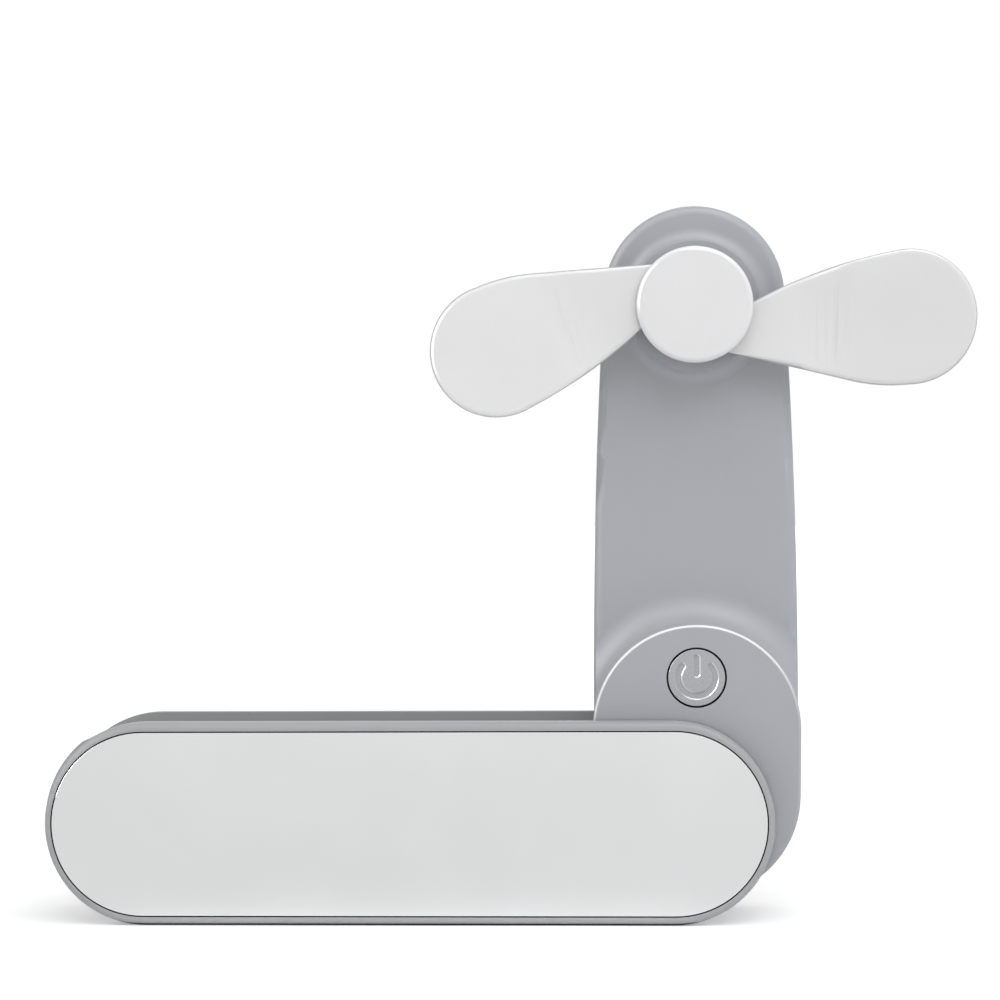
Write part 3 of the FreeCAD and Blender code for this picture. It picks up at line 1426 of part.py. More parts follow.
def blade(name, x, y_back, z, degrees):
    """One rigid blade: a flat eye on its pin and a pitched paddle."""
    half = number(s("blade_thickness")) / 2
    thick = 4 * number(s("blade_tip_radius"))
    paddle = blade_outline()
    paddle.rotate(FreeCAD.Vector(), FreeCAD.Vector(1, 0, 0), 90)
    paddle.translate(FreeCAD.Vector(0, -thick / 2, 0))
    shape = paddle.extrude(FreeCAD.Vector(0, thick, 0)).common(twisted_sheet())
    eye = Part.makeCylinder(
        number(s("blade_eye_radius")), 2 * half, FreeCAD.Vector(0, -half, 0), REARWARD
    )
    shape = shape.fuse(eye).removeSplitter()
    bore = Part.makeCylinder(
        number(f"{s('blade_pin_radius')} + {s('running_clearance')}"),
        4 * half,
        FreeCAD.Vector(0, -2 * half, 0),
        REARWARD,
    )
    item = doc.addObject("Part::Feature", name)
    item.Shape = shape.cut(bore)
    item.Placement = FreeCAD.Placement(
        FreeCAD.Vector(number(x), number(y_back) - half, number(z)),
        FreeCAD.Rotation(FreeCAD.Vector(0, 1, 0), -degrees),
    )
    return item


# ---------------------------------------------------------------- wires


def wire(name, points):
    """A wire through straight runs that are joined by tangent arcs."""
    radius = number(s("wire_radius"))
    corners = [FreeCAD.Vector(*point) for point in points]
    edges, start = [], corners[0]
    for before, corner, after in zip(corners, corners[1:], corners[2:]):
        back, forth = before.sub(corner), after.sub(corner)
        turn = math.pi - back.getAngle(forth)
        trim = 0.45 * min(back.Length, forth.Length)
        enter = corner.add(back.normalize().multiply(trim))
        leave = corner.add(forth.normalize().multiply(trim))
        bisector = back.add(forth).normalize()
        bend = trim / math.tan(turn / 2)
        middle = corner.add(bisector.multiply(bend / math.cos(turn / 2) - bend))
        edges.append(Part.LineSegment(start, enter).toShape())
        edges.append(Part.Arc(enter, middle, leave).toShape())
        start = leave
    edges.append(Part.LineSegment(start, corners[-1]).toShape())
    path = Part.Wire(edges)
    direction = corners[1].sub(corners[0])
    section = Part.Wire([Part.Circle(corners[0], direction, radius).toShape()])
    item = doc.addObject("Part::Feature", name)
    item.Shape = path.makePipeShell([section], True, True)
    return item


def arm_point(x, y, rise):
    return number(f"{PIVOT_X} + {x}"), number(y), number(arm_z(rise))


def motor_wire(name, side):
    """From the back of the board, past the battery's side, up to the motor's end cap."""
    inner_half = f"({s('arm_end_radius')} - {s('side_wall')})"
    beside = f"(({s('battery_width')} / 2 + {inner_half}) / 2 - 0.3) * {side}"
    lane = f"({SPLIT_Y} - {s('lip_height')} - {s('wire_radius')} - 0.3)"
    top = f"({s('battery_rise')} + {s('battery_length')})"
    motor_low = f"({s('hub_rise')} - {s('motor_radius')})"
    end_y = f"({MOTOR_CAP_Y} + {s('motor_cap_thickness')} / 2)"
    return wire(
        name,
        [
            arm_point(f"{side} * 12.3", BOARD_BACK_Y, "15"),
            arm_point(f"{side} * 12.3", f"({BOARD_BACK_Y} + 1.8)", "15"),
            arm_point(beside, f"({lane} - 1.4)", "18.5"),
            arm_point(beside, lane, "25"),
            arm_point(f"({beside})", lane, f"({top} + 0.5)"),
            arm_point(f"{side} * 10.4", lane, f"({top} + 12)"),
            arm_point(f"{side} * 5.2", end_y, f"({motor_low} - 9)"),
            arm_point(f"{side} * 3.4", end_y, f"({motor_low} + 0.55)"),
        ],
    )


def battery_wire(name, side):
    """A short bend from the cell's lower edge to the back of the board."""
    lane = f"({BATTERY_FRONT_Y} + {s('battery_thickness')} / 2)"
    return wire(
        name,
        [
            arm_point(f"{side} * 8", lane, s("battery_rise")),
            arm_point(f"{side} * 8", lane, f"({s('battery_rise')} - 3.6)"),
            arm_point(f"{side} * 8", BOARD_BACK_Y, f"({s('battery_rise')} - 3.6)"),
        ],
    )


# ---------------------------------------------------------------- assembly

nodes = [
    front_plate(),
    back_plate(),
    mirror(),
    mirror_tape(),
    end_wall(),
    plate_screws("front_plate_screws", RECESS_Y, 1),
    plate_screws("back_plate_screws", BACK_SCREW_Y, -1),
    pivot_pin(),
    washer("front_washer", SLOT_FRONT_Y, f"({SLOT_FRONT_Y} + {s('washer_thickness')})"),
    washer("rear_washer", f"({SLOT_BACK_Y} - {s('washer_thickness')})", SLOT_BACK_Y),
    arm_front_shell(),
    arm_rear_shell(),
    arm_screws(),
    circuit_board(),
    board_screws(),
    switch_body(),
    switch_plunger(),
    button_cap(),
    charging_port(),
    control_chip(),
    battery_cell(),
    battery_tape(),
    motor_can(),
    motor_end_cap(),
    motor_magnets(),
    motor_brushes(),
    bush("front_bush", f"({BOSS_FRONT_Y} + 0.2)", f"({MOTOR_FRONT_Y} + {s('bush_length')})"),
    bush("rear_bush", f"({MOTOR_CAP_Y} - 0.1)", REAR_FLOOR_Y),
    motor_shaft(),
    armature_core(),
    armature_windings(),
    commutator(),
    hub_base(),
    hub_cap(),
    front_blade_pin(),
    rear_blade_pin(),
    blade("left_blade", FRONT_PIN_X, FRONT_EYE_BACK_Y, FRONT_PIN_Z, 180 + number(s("left_blade_droop"))),
    blade("right_blade", REAR_PIN_X, REAR_EYE_BACK_Y, REAR_PIN_Z, number(s("right_blade_lift"))),
    motor_wire("motor_wire_red", 1),
    motor_wire("motor_wire_black", -1),
    battery_wire("battery_wire_red", 1),
    battery_wire("battery_wire_black", -1),
]
doc.recompute()

faults = []
for item in doc.Objects:
    if "Invalid" in item.State or "Error" in item.State:
        faults.append(f"{item.Label}: {item.State}")
for node in nodes:
    if node.Shape.isNull() or not node.Shape.isValid() or not node.Shape.Solids:
        faults.append(f"{node.Label}: shape is not a valid solid")
if faults:
    raise SystemExit("\n".join(faults))

os.makedirs("parts", exist_ok=True)
for node in nodes:
    node.Shape.exportStep(f"parts/{node.Label}.step")
print(len(nodes), "nodes,", sum(len(node.Shape.Solids) for node in nodes), "solids")
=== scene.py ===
import json
import math

import bpy
from mathutils import Euler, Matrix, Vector

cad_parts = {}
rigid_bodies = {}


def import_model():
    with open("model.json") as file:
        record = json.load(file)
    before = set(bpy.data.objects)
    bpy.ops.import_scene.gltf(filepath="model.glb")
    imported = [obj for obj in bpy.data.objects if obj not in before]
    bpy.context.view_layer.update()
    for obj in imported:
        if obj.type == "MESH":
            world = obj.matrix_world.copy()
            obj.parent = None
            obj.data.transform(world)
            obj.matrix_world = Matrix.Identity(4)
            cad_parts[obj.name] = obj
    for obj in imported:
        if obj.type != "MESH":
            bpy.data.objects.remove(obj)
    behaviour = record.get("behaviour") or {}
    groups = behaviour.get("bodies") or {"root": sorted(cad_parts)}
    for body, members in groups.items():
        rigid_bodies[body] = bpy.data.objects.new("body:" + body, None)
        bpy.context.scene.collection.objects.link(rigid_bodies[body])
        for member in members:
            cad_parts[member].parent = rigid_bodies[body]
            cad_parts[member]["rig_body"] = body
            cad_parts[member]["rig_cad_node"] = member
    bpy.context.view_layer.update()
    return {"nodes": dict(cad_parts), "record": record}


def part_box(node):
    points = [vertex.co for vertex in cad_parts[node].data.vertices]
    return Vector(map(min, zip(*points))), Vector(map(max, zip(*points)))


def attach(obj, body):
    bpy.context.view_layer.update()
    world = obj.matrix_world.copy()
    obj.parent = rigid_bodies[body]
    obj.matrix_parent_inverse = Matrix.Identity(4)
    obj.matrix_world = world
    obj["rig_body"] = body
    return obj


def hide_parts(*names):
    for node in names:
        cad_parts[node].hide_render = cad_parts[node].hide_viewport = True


MM = 0.001

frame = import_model()
nodes = frame["nodes"]
bpy.context.scene.view_settings.view_transform = "Standard"


# ---------------------------------------------------------------- node helpers


def link(tree, start, end):
    tree.links.new(start, end)


def feed(tree, socket, value):
    """Sets a number or colour on a socket, or links an output to it."""
    if isinstance(value, (int, float, tuple)):
        socket.default_value = value
    else:
        link(tree, value, socket)


def math_node(tree, operation, first, second):
    node = tree.nodes.new("ShaderNodeMath")
    node.operation = operation
    feed(tree, node.inputs[0], first)
    feed(tree, node.inputs[1], second)
    return node.outputs[0]


def shading_node(tree, kind, **values):
    """Adds a shader node, such as a diffuse or an emission one, and gives its output."""
    node = tree.nodes.new(kind)
    for label, value in values.items():
        feed(tree, node.inputs[label], value)
    return node.outputs[0]


# ---------------------------------------------------------------- camera and light

CAMERA_PLACE = (23.54 * MM, -532.36 * MM, 76.39 * MM)
CAMERA_TURN_DEGREES = (89.2551, 0.3208, 2.7288)
CAMERA_LENS = 114.8
CAMERA_NEAR = 0.01
CAMERA_FAR = 20

PURE_WHITE = (1, 1, 1, 1)
AMBIENT = 0.6
BACKDROP_STRENGTH = 1
FLOOR_SIZE = 6.0
FLOOR_HEIGHT = -0.02 * MM
FLOOR_COLOUR = (0.88, 0.88, 0.88, 1)
NEAR_LIFT = 0.35
FAR_LIFT = 0.9
NEAR_FLOOR = 0.4
FAR_FLOOR = 1.0

HUB_LOW, HUB_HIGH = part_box("hub_cap")
LAMP_TARGET = ((HUB_LOW.x + HUB_HIGH.x) / 2, 0, 60 * MM)
# Each lamp has a name, a place, the side of its square and its power.
SOFTBOXES = [
    ("overhead_softbox", (0.22, -0.55, 0.85), 0.8, 4.0),
    ("right_softbox", (0.9, -0.25, 0.3), 0.5, 0.8),
    ("left_softbox", (-0.8, -0.25, 0.4), 0.5, 0.4),
]
GLEAMS = [
    ("left_gleam", (-1.0, -0.55, 0.55), 0.95, 40.0),
    ("top_gleam", (0.3, -0.45, 1.2), 1.0, 14.0),
]


def add_camera():
    data = bpy.data.cameras.new("camera")
    data.lens = CAMERA_LENS
    data.clip_start = CAMERA_NEAR
    data.clip_end = CAMERA_FAR
    camera = bpy.data.objects.new("camera", data)
    bpy.context.scene.collection.objects.link(camera)
    camera.location = CAMERA_PLACE
    camera.rotation_euler = Euler([math.radians(turn) for turn in CAMERA_TURN_DEGREES])
    bpy.context.scene.camera = camera


def backdrop_rays(tree):
    """1 for rays that show the backdrop itself: seen directly, in gloss or through glass."""
    rays = tree.nodes.new("ShaderNodeLightPath").outputs
    seen = math_node(tree, "MAXIMUM", rays["Is Camera Ray"], rays["Is Glossy Ray"])
    return math_node(tree, "MAXIMUM", seen, rays["Is Transmission Ray"])


def add_world():
    """Soft light from all sides, which is seen as plain white."""
    world = bpy.data.worlds.new("studio")
    world.use_nodes = True
    bpy.context.scene.world = world
    tree = world.node_tree
    tree.nodes.clear()
    light = shading_node(tree, "ShaderNodeBackground", Color=PURE_WHITE, Strength=AMBIENT)
    white = shading_node(tree, "ShaderNodeBackground", Color=PURE_WHITE, Strength=BACKDROP_STRENGTH)
    choice = tree.nodes.new("ShaderNodeMixShader")
    link(tree, backdrop_rays(tree), choice.inputs["Fac"])
    link(tree, light, choice.inputs[1])
    link(tree, white, choice.inputs[2])
    out = tree.nodes.new("ShaderNodeOutputWorld")
    link(tree, choice.outputs[0], out.inputs["Surface"])


def floor_lift(tree):
    """How much the paper is lifted to white: little round the object, more far off."""
    where = tree.nodes.new("ShaderNodeTexCoord")
    reach = tree.nodes.new("ShaderNodeVectorMath")
    reach.operation = "LENGTH"
    link(tree, where.outputs["Object"], reach.inputs[0])
    rise = tree.nodes.new("ShaderNodeMapRange")
    link(tree, reach.outputs["Value"], rise.inputs["Value"])
    rise.inputs["From Min"].default_value = NEAR_FLOOR
    rise.inputs["From Max"].default_value = FAR_FLOOR
    rise.inputs["To Min"].default_value = NEAR_LIFT
    rise.inputs["To Max"].default_value = FAR_LIFT
    return rise.outputs["Result"]


def floor_paper():
    """Pale paper that is lifted to white where it is seen, and keeps the object's shadow."""
    material = bpy.data.materials.new("floor_paper")
    material.use_nodes = True
    tree = material.node_tree
    tree.nodes.clear()
    strength = math_node(tree, "MULTIPLY", backdrop_rays(tree), floor_lift(tree))
    paper = shading_node(tree, "ShaderNodeBsdfDiffuse", Color=FLOOR_COLOUR)
    lift = shading_node(tree, "ShaderNodeEmission", Color=PURE_WHITE, Strength=strength)
    both = tree.nodes.new("ShaderNodeAddShader")
    link(tree, paper, both.inputs[0])
    link(tree, lift, both.inputs[1])
    out = tree.nodes.new("ShaderNodeOutputMaterial")
    link(tree, both.outputs[0], out.inputs["Surface"])
    return material


def add_floor():
    bpy.ops.object.select_all(action="DESELECT")
    bpy.ops.mesh.primitive_plane_add(size=FLOOR_SIZE, location=(0, 0, FLOOR_HEIGHT))
    floor = bpy.context.object
    floor.name = "floor"
    floor.data.materials.append(floor_paper())


def add_softbox(name, place, size, power):
    data = bpy.data.lights.new(name, "AREA")
    data.shape = "SQUARE"
    data.size = size
    data.energy = power
    lamp = bpy.data.objects.new(name, data)
    bpy.context.scene.collection.objects.link(lamp)
    lamp.location = place
    aim = Vector(LAMP_TARGET) - Vector(place)
    lamp.rotation_euler = aim.to_track_quat("-Z", "Y").to_euler()
    return lamp


def add_gleam(name, place, size, power):
    """A broad soft light that is only seen in gloss, for the highlights along rounded rims."""
    lamp = add_softbox(name, place, size, power)
    lamp.visible_diffuse = False
    lamp.visible_transmission = False


add_camera()
add_world()
add_floor()
for row in SOFTBOXES:
    add_softbox(*row)
for row in GLEAMS:
    add_gleam(*row)


# ---------------------------------------------------------------- shared surface effects

# Detail and roughness of the noises.
FINE_NOISE = (3, 0.6)
SLOW_NOISE = (2, 0.5)
SPECK_NOISE = (2, 0.7)

# What is stretched to 0 and 1 in each effect.
GRAIN_SPREAD = (0.35, 0.65)
DRIFT_SPREAD = (0.3, 0.7)
EDGE_TURN = (0.01, 0.2)
EDGE_SPREAD = (0.3, 0.7)
SPECK_SPREAD = (0.72, 0.8)
DUST_UPWARD = (-0.5, 1.0)
LIT_SIDES = (-0.3, 0.5)
GAP_SHELTER = (0.5, 0.25)

EDGE_NOISE_SCALE = 900
EDGE_SAMPLES = 4
DUST_SHARE_ABOVE = 0.7
DUST_SHARE_BELOW = 0.3
GAP_SAMPLES = 8
GAP_REACH = 1.2 * MM


def new_group(name, inputs, outputs):
    """A shader node group with named number inputs and named outputs."""
    group = bpy.data.node_groups.new(name, "ShaderNodeTree")
    for label, value in inputs.items():
        socket = group.interface.new_socket(label, in_out="INPUT", socket_type="NodeSocketFloat")
        socket.default_value = value
    for label in outputs:
        group.interface.new_socket(label, in_out="OUTPUT", socket_type="NodeSocketFloat")
    given = group.nodes.new("NodeGroupInput").outputs
    return group, given, group.nodes.new("NodeGroupOutput").inputs


def place_noise(tree, scale, detail, roughness):
    """Noise over the object's own coordinates."""
    where = tree.nodes.new("ShaderNodeTexCoord")
    noise = tree.nodes.new("ShaderNodeTexNoise")
    noise.inputs["Detail"].default_value = detail
    noise.inputs["Roughness"].default_value = roughness
    link(tree, where.outputs["Object"], noise.inputs["Vector"])
    feed(tree, noise.inputs["Scale"], scale)
    return noise.outputs["Fac"]


def ramp(tree, value, low, high):
    """Stretches a value so that low gives 0 and high gives 1."""
    node = tree.nodes.new("ShaderNodeMapRange")
    node.interpolation_type = "SMOOTHSTEP"
    feed(tree, node.inputs["From Min"], low)
    feed(tree, node.inputs["From Max"], high)
    link(tree, value, node.inputs["Value"])
    return node.outputs["Result"]


def parts_of(tree, vector):
    """The X, Y and Z of a vector."""
    split = tree.nodes.new("ShaderNodeSeparateXYZ")
    link(tree, vector, split.inputs[0])
    return split.outputs


def moulded_grain_group():
    """The fine spark texture of a moulded shell, and the slow drift of its tone."""
    group, given, out = new_group(
        "moulded_grain", {"Grain Scale": 3500, "Drift Scale": 45}, ["Height", "Drift"]
    )
    fine = place_noise(group, given["Grain Scale"], *FINE_NOISE)
    link(group, ramp(group, fine, *GRAIN_SPREAD), out["Height"])
    slow = place_noise(group, given["Drift Scale"], *SLOW_NOISE)
    link(group, ramp(group, slow, *DRIFT_SPREAD), out["Drift"])
    return group


def edge_wear_and_highlight_group():
    """1 on edges that hands polish, broken up by noise. Edges made paler by it show wear, and on
    the arm also a painted highlight.
    """
    group, given, out = new_group("edge_wear_and_highlight", {"Width": 0.4 * MM, "Amount": 0.5}, ["Mask"])
    bevel = group.nodes.new("ShaderNodeBevel")
    bevel.samples = EDGE_SAMPLES
    link(group, given["Width"], bevel.inputs["Radius"])
    shape = group.nodes.new("ShaderNodeNewGeometry")
    compare = group.nodes.new("ShaderNodeVectorMath")
    compare.operation = "DOT_PRODUCT"
    link(group, bevel.outputs["Normal"], compare.inputs[0])
    link(group, shape.outputs["Normal"], compare.inputs[1])
    turned = math_node(group, "SUBTRACT", 1, compare.outputs["Value"])
    edge = ramp(group, turned, *EDGE_TURN)
    noise = place_noise(group, EDGE_NOISE_SCALE, *FINE_NOISE)
    mask = math_node(group, "MULTIPLY", edge, ramp(group, noise, *EDGE_SPREAD))
    link(group, math_node(group, "MULTIPLY", mask, given["Amount"]), out["Mask"])
    return group


def settled_dust_group():
    """Scattered specks of dust, more of them on faces that look up."""
    group, given, out = new_group("settled_dust", {"Speck Scale": 1400, "Amount": 0.3}, ["Mask"])
    specks = place_noise(group, given["Speck Scale"], *SPECK_NOISE)
    few = ramp(group, specks, *SPECK_SPREAD)
    shape = group.nodes.new("ShaderNodeNewGeometry")
    upward = ramp(group, parts_of(group, shape.outputs["Normal"])["Z"], *DUST_UPWARD)
    above = math_node(group, "MULTIPLY", upward, DUST_SHARE_ABOVE)
    mask = math_node(group, "MULTIPLY", few, math_node(group, "ADD", above, DUST_SHARE_BELOW))
    link(group, math_node(group, "MULTIPLY", mask, given["Amount"]), out["Mask"])
    return group


def rim_highlight_group():
    """Painted highlight and shade on a rounded rim. Mask is 1 on a rounded rim, between Front and
    Rear: where the surface has turned away from the front, and mostly where it looks up (Upward) or
    to the left (Leftward), towards the lamps; it paints a highlight. Side is 1 where it has turned
    to the side, and paints shade there."""
    group, given, out = new_group(
        "painted_rim_highlight",
        {
            "Flat": 0.95,
            "Turned": 0.85,
            "Side Start": 0.4,
            "Side End": 0.15,
            "Front": -1.0,
            "Rear": 1.0,
            "Upward": 1.0,
            "Leftward": 0.0,
        },
        ["Mask", "Side"],
    )
    where = group.nodes.new("ShaderNodeTexCoord")
    turn = parts_of(group, where.outputs["Normal"])
    facing = math_node(group, "ABSOLUTE", turn["Y"], 0)
    flat = ramp(group, facing, given["Turned"], given["Flat"])
    side_shade = ramp(group, facing, given["Side Start"], given["Side End"])
    link(group, side_shade, out["Side"])
    bare = math_node(group, "SUBTRACT", math_node(group, "SUBTRACT", 1, flat), side_shade)
    up = math_node(group, "MULTIPLY", turn["Z"], given["Upward"])
    left = math_node(group, "MULTIPLY", turn["X"], given["Leftward"])
    # Lighter where the rim looks up or to the left, towards the lamps: a painted highlight.
    lit_side = ramp(group, math_node(group, "SUBTRACT", up, left), *LIT_SIDES)
    depth = parts_of(group, where.outputs["Object"])["Y"]
    behind = math_node(group, "GREATER_THAN", depth, given["Front"])
    before = math_node(group, "LESS_THAN", depth, given["Rear"])
    zone = math_node(group, "MULTIPLY", behind, before)
    rim_highlight = math_node(group, "MULTIPLY", bare, lit_side)
    link(group, math_node(group, "MULTIPLY", rim_highlight, zone), out["Mask"])
    return group


def gap_painted_shade_group():
    """Painted shade: 1 deep in narrow gaps, where hardly any light gets, as found by ambient
    occlusion.
    """
    group, given, out = new_group("gap_painted_shade", {"Reach": GAP_REACH}, ["Mask"])
    shelter = group.nodes.new("ShaderNodeAmbientOcclusion")
    shelter.samples = GAP_SAMPLES
    link(group, given["Reach"], shelter.inputs["Distance"])
    link(group, ramp(group, shelter.outputs["AO"], *GAP_SHELTER), out["Mask"])
    return group


MOULDED_GRAIN = moulded_grain_group()
PAINTED_RIM_HIGHLIGHT = rim_highlight_group()
EDGE_WEAR_AND_HIGHLIGHT = edge_wear_and_highlight_group()
SETTLED_DUST = settled_dust_group()
GAP_PAINTED_SHADE = gap_painted_shade_group()


# ---------------------------------------------------------------- finishes

ARM_GREY = (0.405, 0.417, 0.446)
PLATE_GREY = (0.4, 0.406, 0.418)
BUTTON_GREY = (0.365, 0.377, 0.402)
WHITE = (0.785, 0.785, 0.79)
# Painted shade on the blade rims where they turn to the side.
WHITE_SIDE_SHADE = (0.5, 0.5, 0.51)
CAP_WHITE = (0.8, 0.8, 0.81)
DUST_COLOUR = (0.75, 0.74, 0.72)
# Near-black painted shade for deep gaps.
GAP_SHADE_COLOUR = (0.01, 0.01, 0.01)

PLASTIC_DRIFT_SCALE = 45.0
PLASTIC_DRIFT = (0.985, 1.015)
PLASTIC_EDGE = 0.4 * MM
PLASTIC_DUST = {"Speck Scale": 1500.0, "Amount": 0.35}
PLASTIC_BUMP = 0.02 * MM
GRAIN_TOPS = -0.04
GRAIN_HOLLOWS = 0.05
POLISH = -0.12
COAT_ROUGHNESS = 0.1

METAL_GRAIN = {"Grain Scale": 9000.0, "Drift Scale": 120.0}
METAL_EDGE = {"Width": 0.2 * MM, "Amount": 0.6}
METAL_DULL = 0.93
METAL_EDGE_LIFT = 1.15
METAL_ROUGHER = 0.1
METAL_BUMP_STRENGTH = 0.12
METAL_BUMP = 0.01 * MM

MIRROR_DUST = {"Speck Scale": 2600.0, "Amount": 0.25}
MIRROR_HAZE = {"Grain Scale": 700.0, "Drift Scale": 60.0}
SILVER_DULL = (0.585, 0.59, 0.592)
SILVER_BRIGHT = (0.6, 0.605, 0.607)
MIRROR_SPECK = (0.5, 0.5, 0.5)
FILM_ROUGHNESS = (0.03, 0.06)
SPECK_ROUGHNESS = 0.5


def start_material(name):
    material = bpy.data.materials.new(name)
    material.use_nodes = True
    return material, material.node_tree, material.node_tree.nodes["Principled BSDF"].inputs


def use_group(tree, group, values):
    """Sets a shared effect to work with its own values, and gives its outputs."""
    node = tree.nodes.new("ShaderNodeGroup")
    node.node_tree = group
    for label, value in values.items():
        node.inputs[label].default_value = value
    return node.outputs


def mix_node(tree, kind, factor, first, second):
    node = tree.nodes.new("ShaderNodeMix")
    node.data_type = kind
    node.clamp_factor = True
    link(tree, factor, node.inputs["Factor"])
    feed(tree, node.inputs["A"], first)
    feed(tree, node.inputs["B"], second)
    return node.outputs["Result"]


def mix_colour(tree, factor, first, second):
    first, second = (
        (*colour, 1) if isinstance(colour, tuple) else colour for colour in (first, second)
    )
    return mix_node(tree, "RGBA", factor, first, second)


def mix_number(tree, factor, first, second):
    return mix_node(tree, "FLOAT", factor, first, second)


def bump(tree, shader, height, strength, distance):
    node = tree.nodes.new("ShaderNodeBump")
    node.inputs["Strength"].default_value = strength
    node.inputs["Distance"].default_value = distance
    link(tree, height, node.inputs["Height"])
    link(tree, node.outputs["Normal"], shader["Normal"])


def scaled(colour, factor):
    return tuple(min(1.0, part * factor) for part in colour)


def moulded_plastic(
    name, colour, roughness, grain_scale=3500.0, grain=0.15, worn=0.5, lift=1.12,
    gloss=0.5, coat=0.0, rim_highlight=None, rim_highlight_bounds=None, side_shade=None,
):
    """Injection-moulded plastic: spark texture, slow drift of tone, polished edges, a little dust
    and painted shade deep in the gaps. Grain is the depth of the texture, worn and lift are how
    much of an edge is polished and how much paler it gets (wear, and on the arm also a painted
    highlight), and the rim colours are a painted highlight along a rounded rim and painted shade
    where it turns to the side."""
    material, tree, shader = start_material(name)
    scales = {"Grain Scale": grain_scale, "Drift Scale": PLASTIC_DRIFT_SCALE}
    texture = use_group(tree, MOULDED_GRAIN, scales)
    edge = use_group(tree, EDGE_WEAR_AND_HIGHLIGHT, {"Width": PLASTIC_EDGE, "Amount": worn})["Mask"]
    dust = use_group(tree, SETTLED_DUST, PLASTIC_DUST)["Mask"]
    # Painted shade: deep in gaps the colour goes near black and the gloss and coat go to nothing.
    painted_gap_shade = use_group(tree, GAP_PAINTED_SHADE, {"Reach": GAP_REACH})["Mask"]

    darker, paler = (scaled(colour, factor) for factor in PLASTIC_DRIFT)
    tone = mix_colour(tree, texture["Drift"], darker, paler)
    # Paler edges: wear, and with the arm's larger lift also a painted highlight along its edges.
    tone = mix_colour(tree, edge, tone, scaled(colour, lift))
    # A painted highlight along a rounded rim, and painted shade where it turns to the side.
    if rim_highlight:
        rim_paint = use_group(tree, PAINTED_RIM_HIGHLIGHT, rim_highlight_bounds)
        tone = mix_colour(tree, rim_paint["Mask"], tone, rim_highlight)
        if side_shade:
            tone = mix_colour(tree, rim_paint["Side"], tone, side_shade)
    tone = mix_colour(tree, dust, tone, DUST_COLOUR)
    link(tree, mix_colour(tree, painted_gap_shade, tone, GAP_SHADE_COLOUR), shader["Base Color"])

    tops, hollows = roughness + GRAIN_TOPS, roughness + GRAIN_HOLLOWS
    satin = mix_number(tree, texture["Height"], tops, hollows)
    link(tree, mix_number(tree, edge, satin, roughness + POLISH), shader["Roughness"])
    link(tree, mix_number(tree, painted_gap_shade, gloss, 0), shader["Specular IOR Level"])
    if coat:
        link(tree, mix_number(tree, painted_gap_shade, coat, 0), shader["Coat Weight"])
        shader["Coat Roughness"].default_value = COAT_ROUGHNESS
    bump(tree, shader, texture["Height"], grain, PLASTIC_BUMP)
    return material


def turned_metal(name, colour, roughness):
    """Machined or plated metal: fine tool marks and a drift in its polish."""
    material, tree, shader = start_material(name)
    shader["Metallic"].default_value = 1
    texture = use_group(tree, MOULDED_GRAIN, METAL_GRAIN)
    edge = use_group(tree, EDGE_WEAR_AND_HIGHLIGHT, METAL_EDGE)["Mask"]
    body = mix_colour(tree, texture["Drift"], scaled(colour, METAL_DULL), colour)
    edged = mix_colour(tree, edge, body, scaled(colour, METAL_EDGE_LIFT))
    link(tree, edged, shader["Base Color"])
    polish = mix_number(tree, texture["Drift"], roughness, roughness + METAL_ROUGHER)
    link(tree, polish, shader["Roughness"])
    bump(tree, shader, texture["Height"], METAL_BUMP_STRENGTH, METAL_BUMP)
    return material


def mirror_glass(name):
    """Silvered glass with a faint film of dust and wiping marks."""
    material, tree, shader = start_material(name)
    shader["Metallic"].default_value = 1
    dust = use_group(tree, SETTLED_DUST, MIRROR_DUST)["Mask"]
    haze = use_group(tree, MOULDED_GRAIN, MIRROR_HAZE)["Drift"]
    silver = mix_colour(tree, haze, SILVER_DULL, SILVER_BRIGHT)
    link(tree, mix_colour(tree, dust, silver, MIRROR_SPECK), shader["Base Color"])
    film = mix_number(tree, haze, *FILM_ROUGHNESS)
    link(tree, mix_number(tree, dust, film, SPECK_ROUGHNESS), shader["Roughness"])
    return material


# A painted highlight: Front and Rear keep the pale line to the rounded edge of the raised face
# round the button.
ARM_RIM_HIGHLIGHT = {
    "rim_highlight": (0.9, 0.9, 0.91),
    "rim_highlight_bounds": {
        "Flat": 0.995,
        "Turned": 0.95,
        "Front": -8.595 * MM,
        "Rear": -7.95 * MM,
        "Leftward": 0.3,
    },
}
# The sign's walls that face left are painted paler: a painted highlight.
SIGN_WALL_HIGHLIGHT = {"rim_highlight": (0.72, 0.72, 0.73), "rim_highlight_bounds": {"Upward": 0.2, "Leftward": 2.0}}
# Blade and cap rims get a pale painted highlight; the blade rims also get painted shade where they
# turn to the side.
PALE_RIM_HIGHLIGHT = (0.88, 0.88, 0.885)
BLADE_HIGHLIGHT_BOUNDS = {
    "Flat": 0.965,
    "Turned": 0.93,
    "Side Start": 0.82,
    "Side End": 0.6,
    "Leftward": 0.4,
}
BLADE_RIM_LIGHT_AND_SHADE = {"rim_highlight": PALE_RIM_HIGHLIGHT, "rim_highlight_bounds": BLADE_HIGHLIGHT_BOUNDS, "side_shade": WHITE_SIDE_SHADE}
CAP_RIM_HIGHLIGHT = {"rim_highlight": PALE_RIM_HIGHLIGHT, "rim_highlight_bounds": {"Leftward": 0.4}}
SMOOTH_WHITE = {"grain": 0.05, "worn": 0.3, "lift": 1.05}

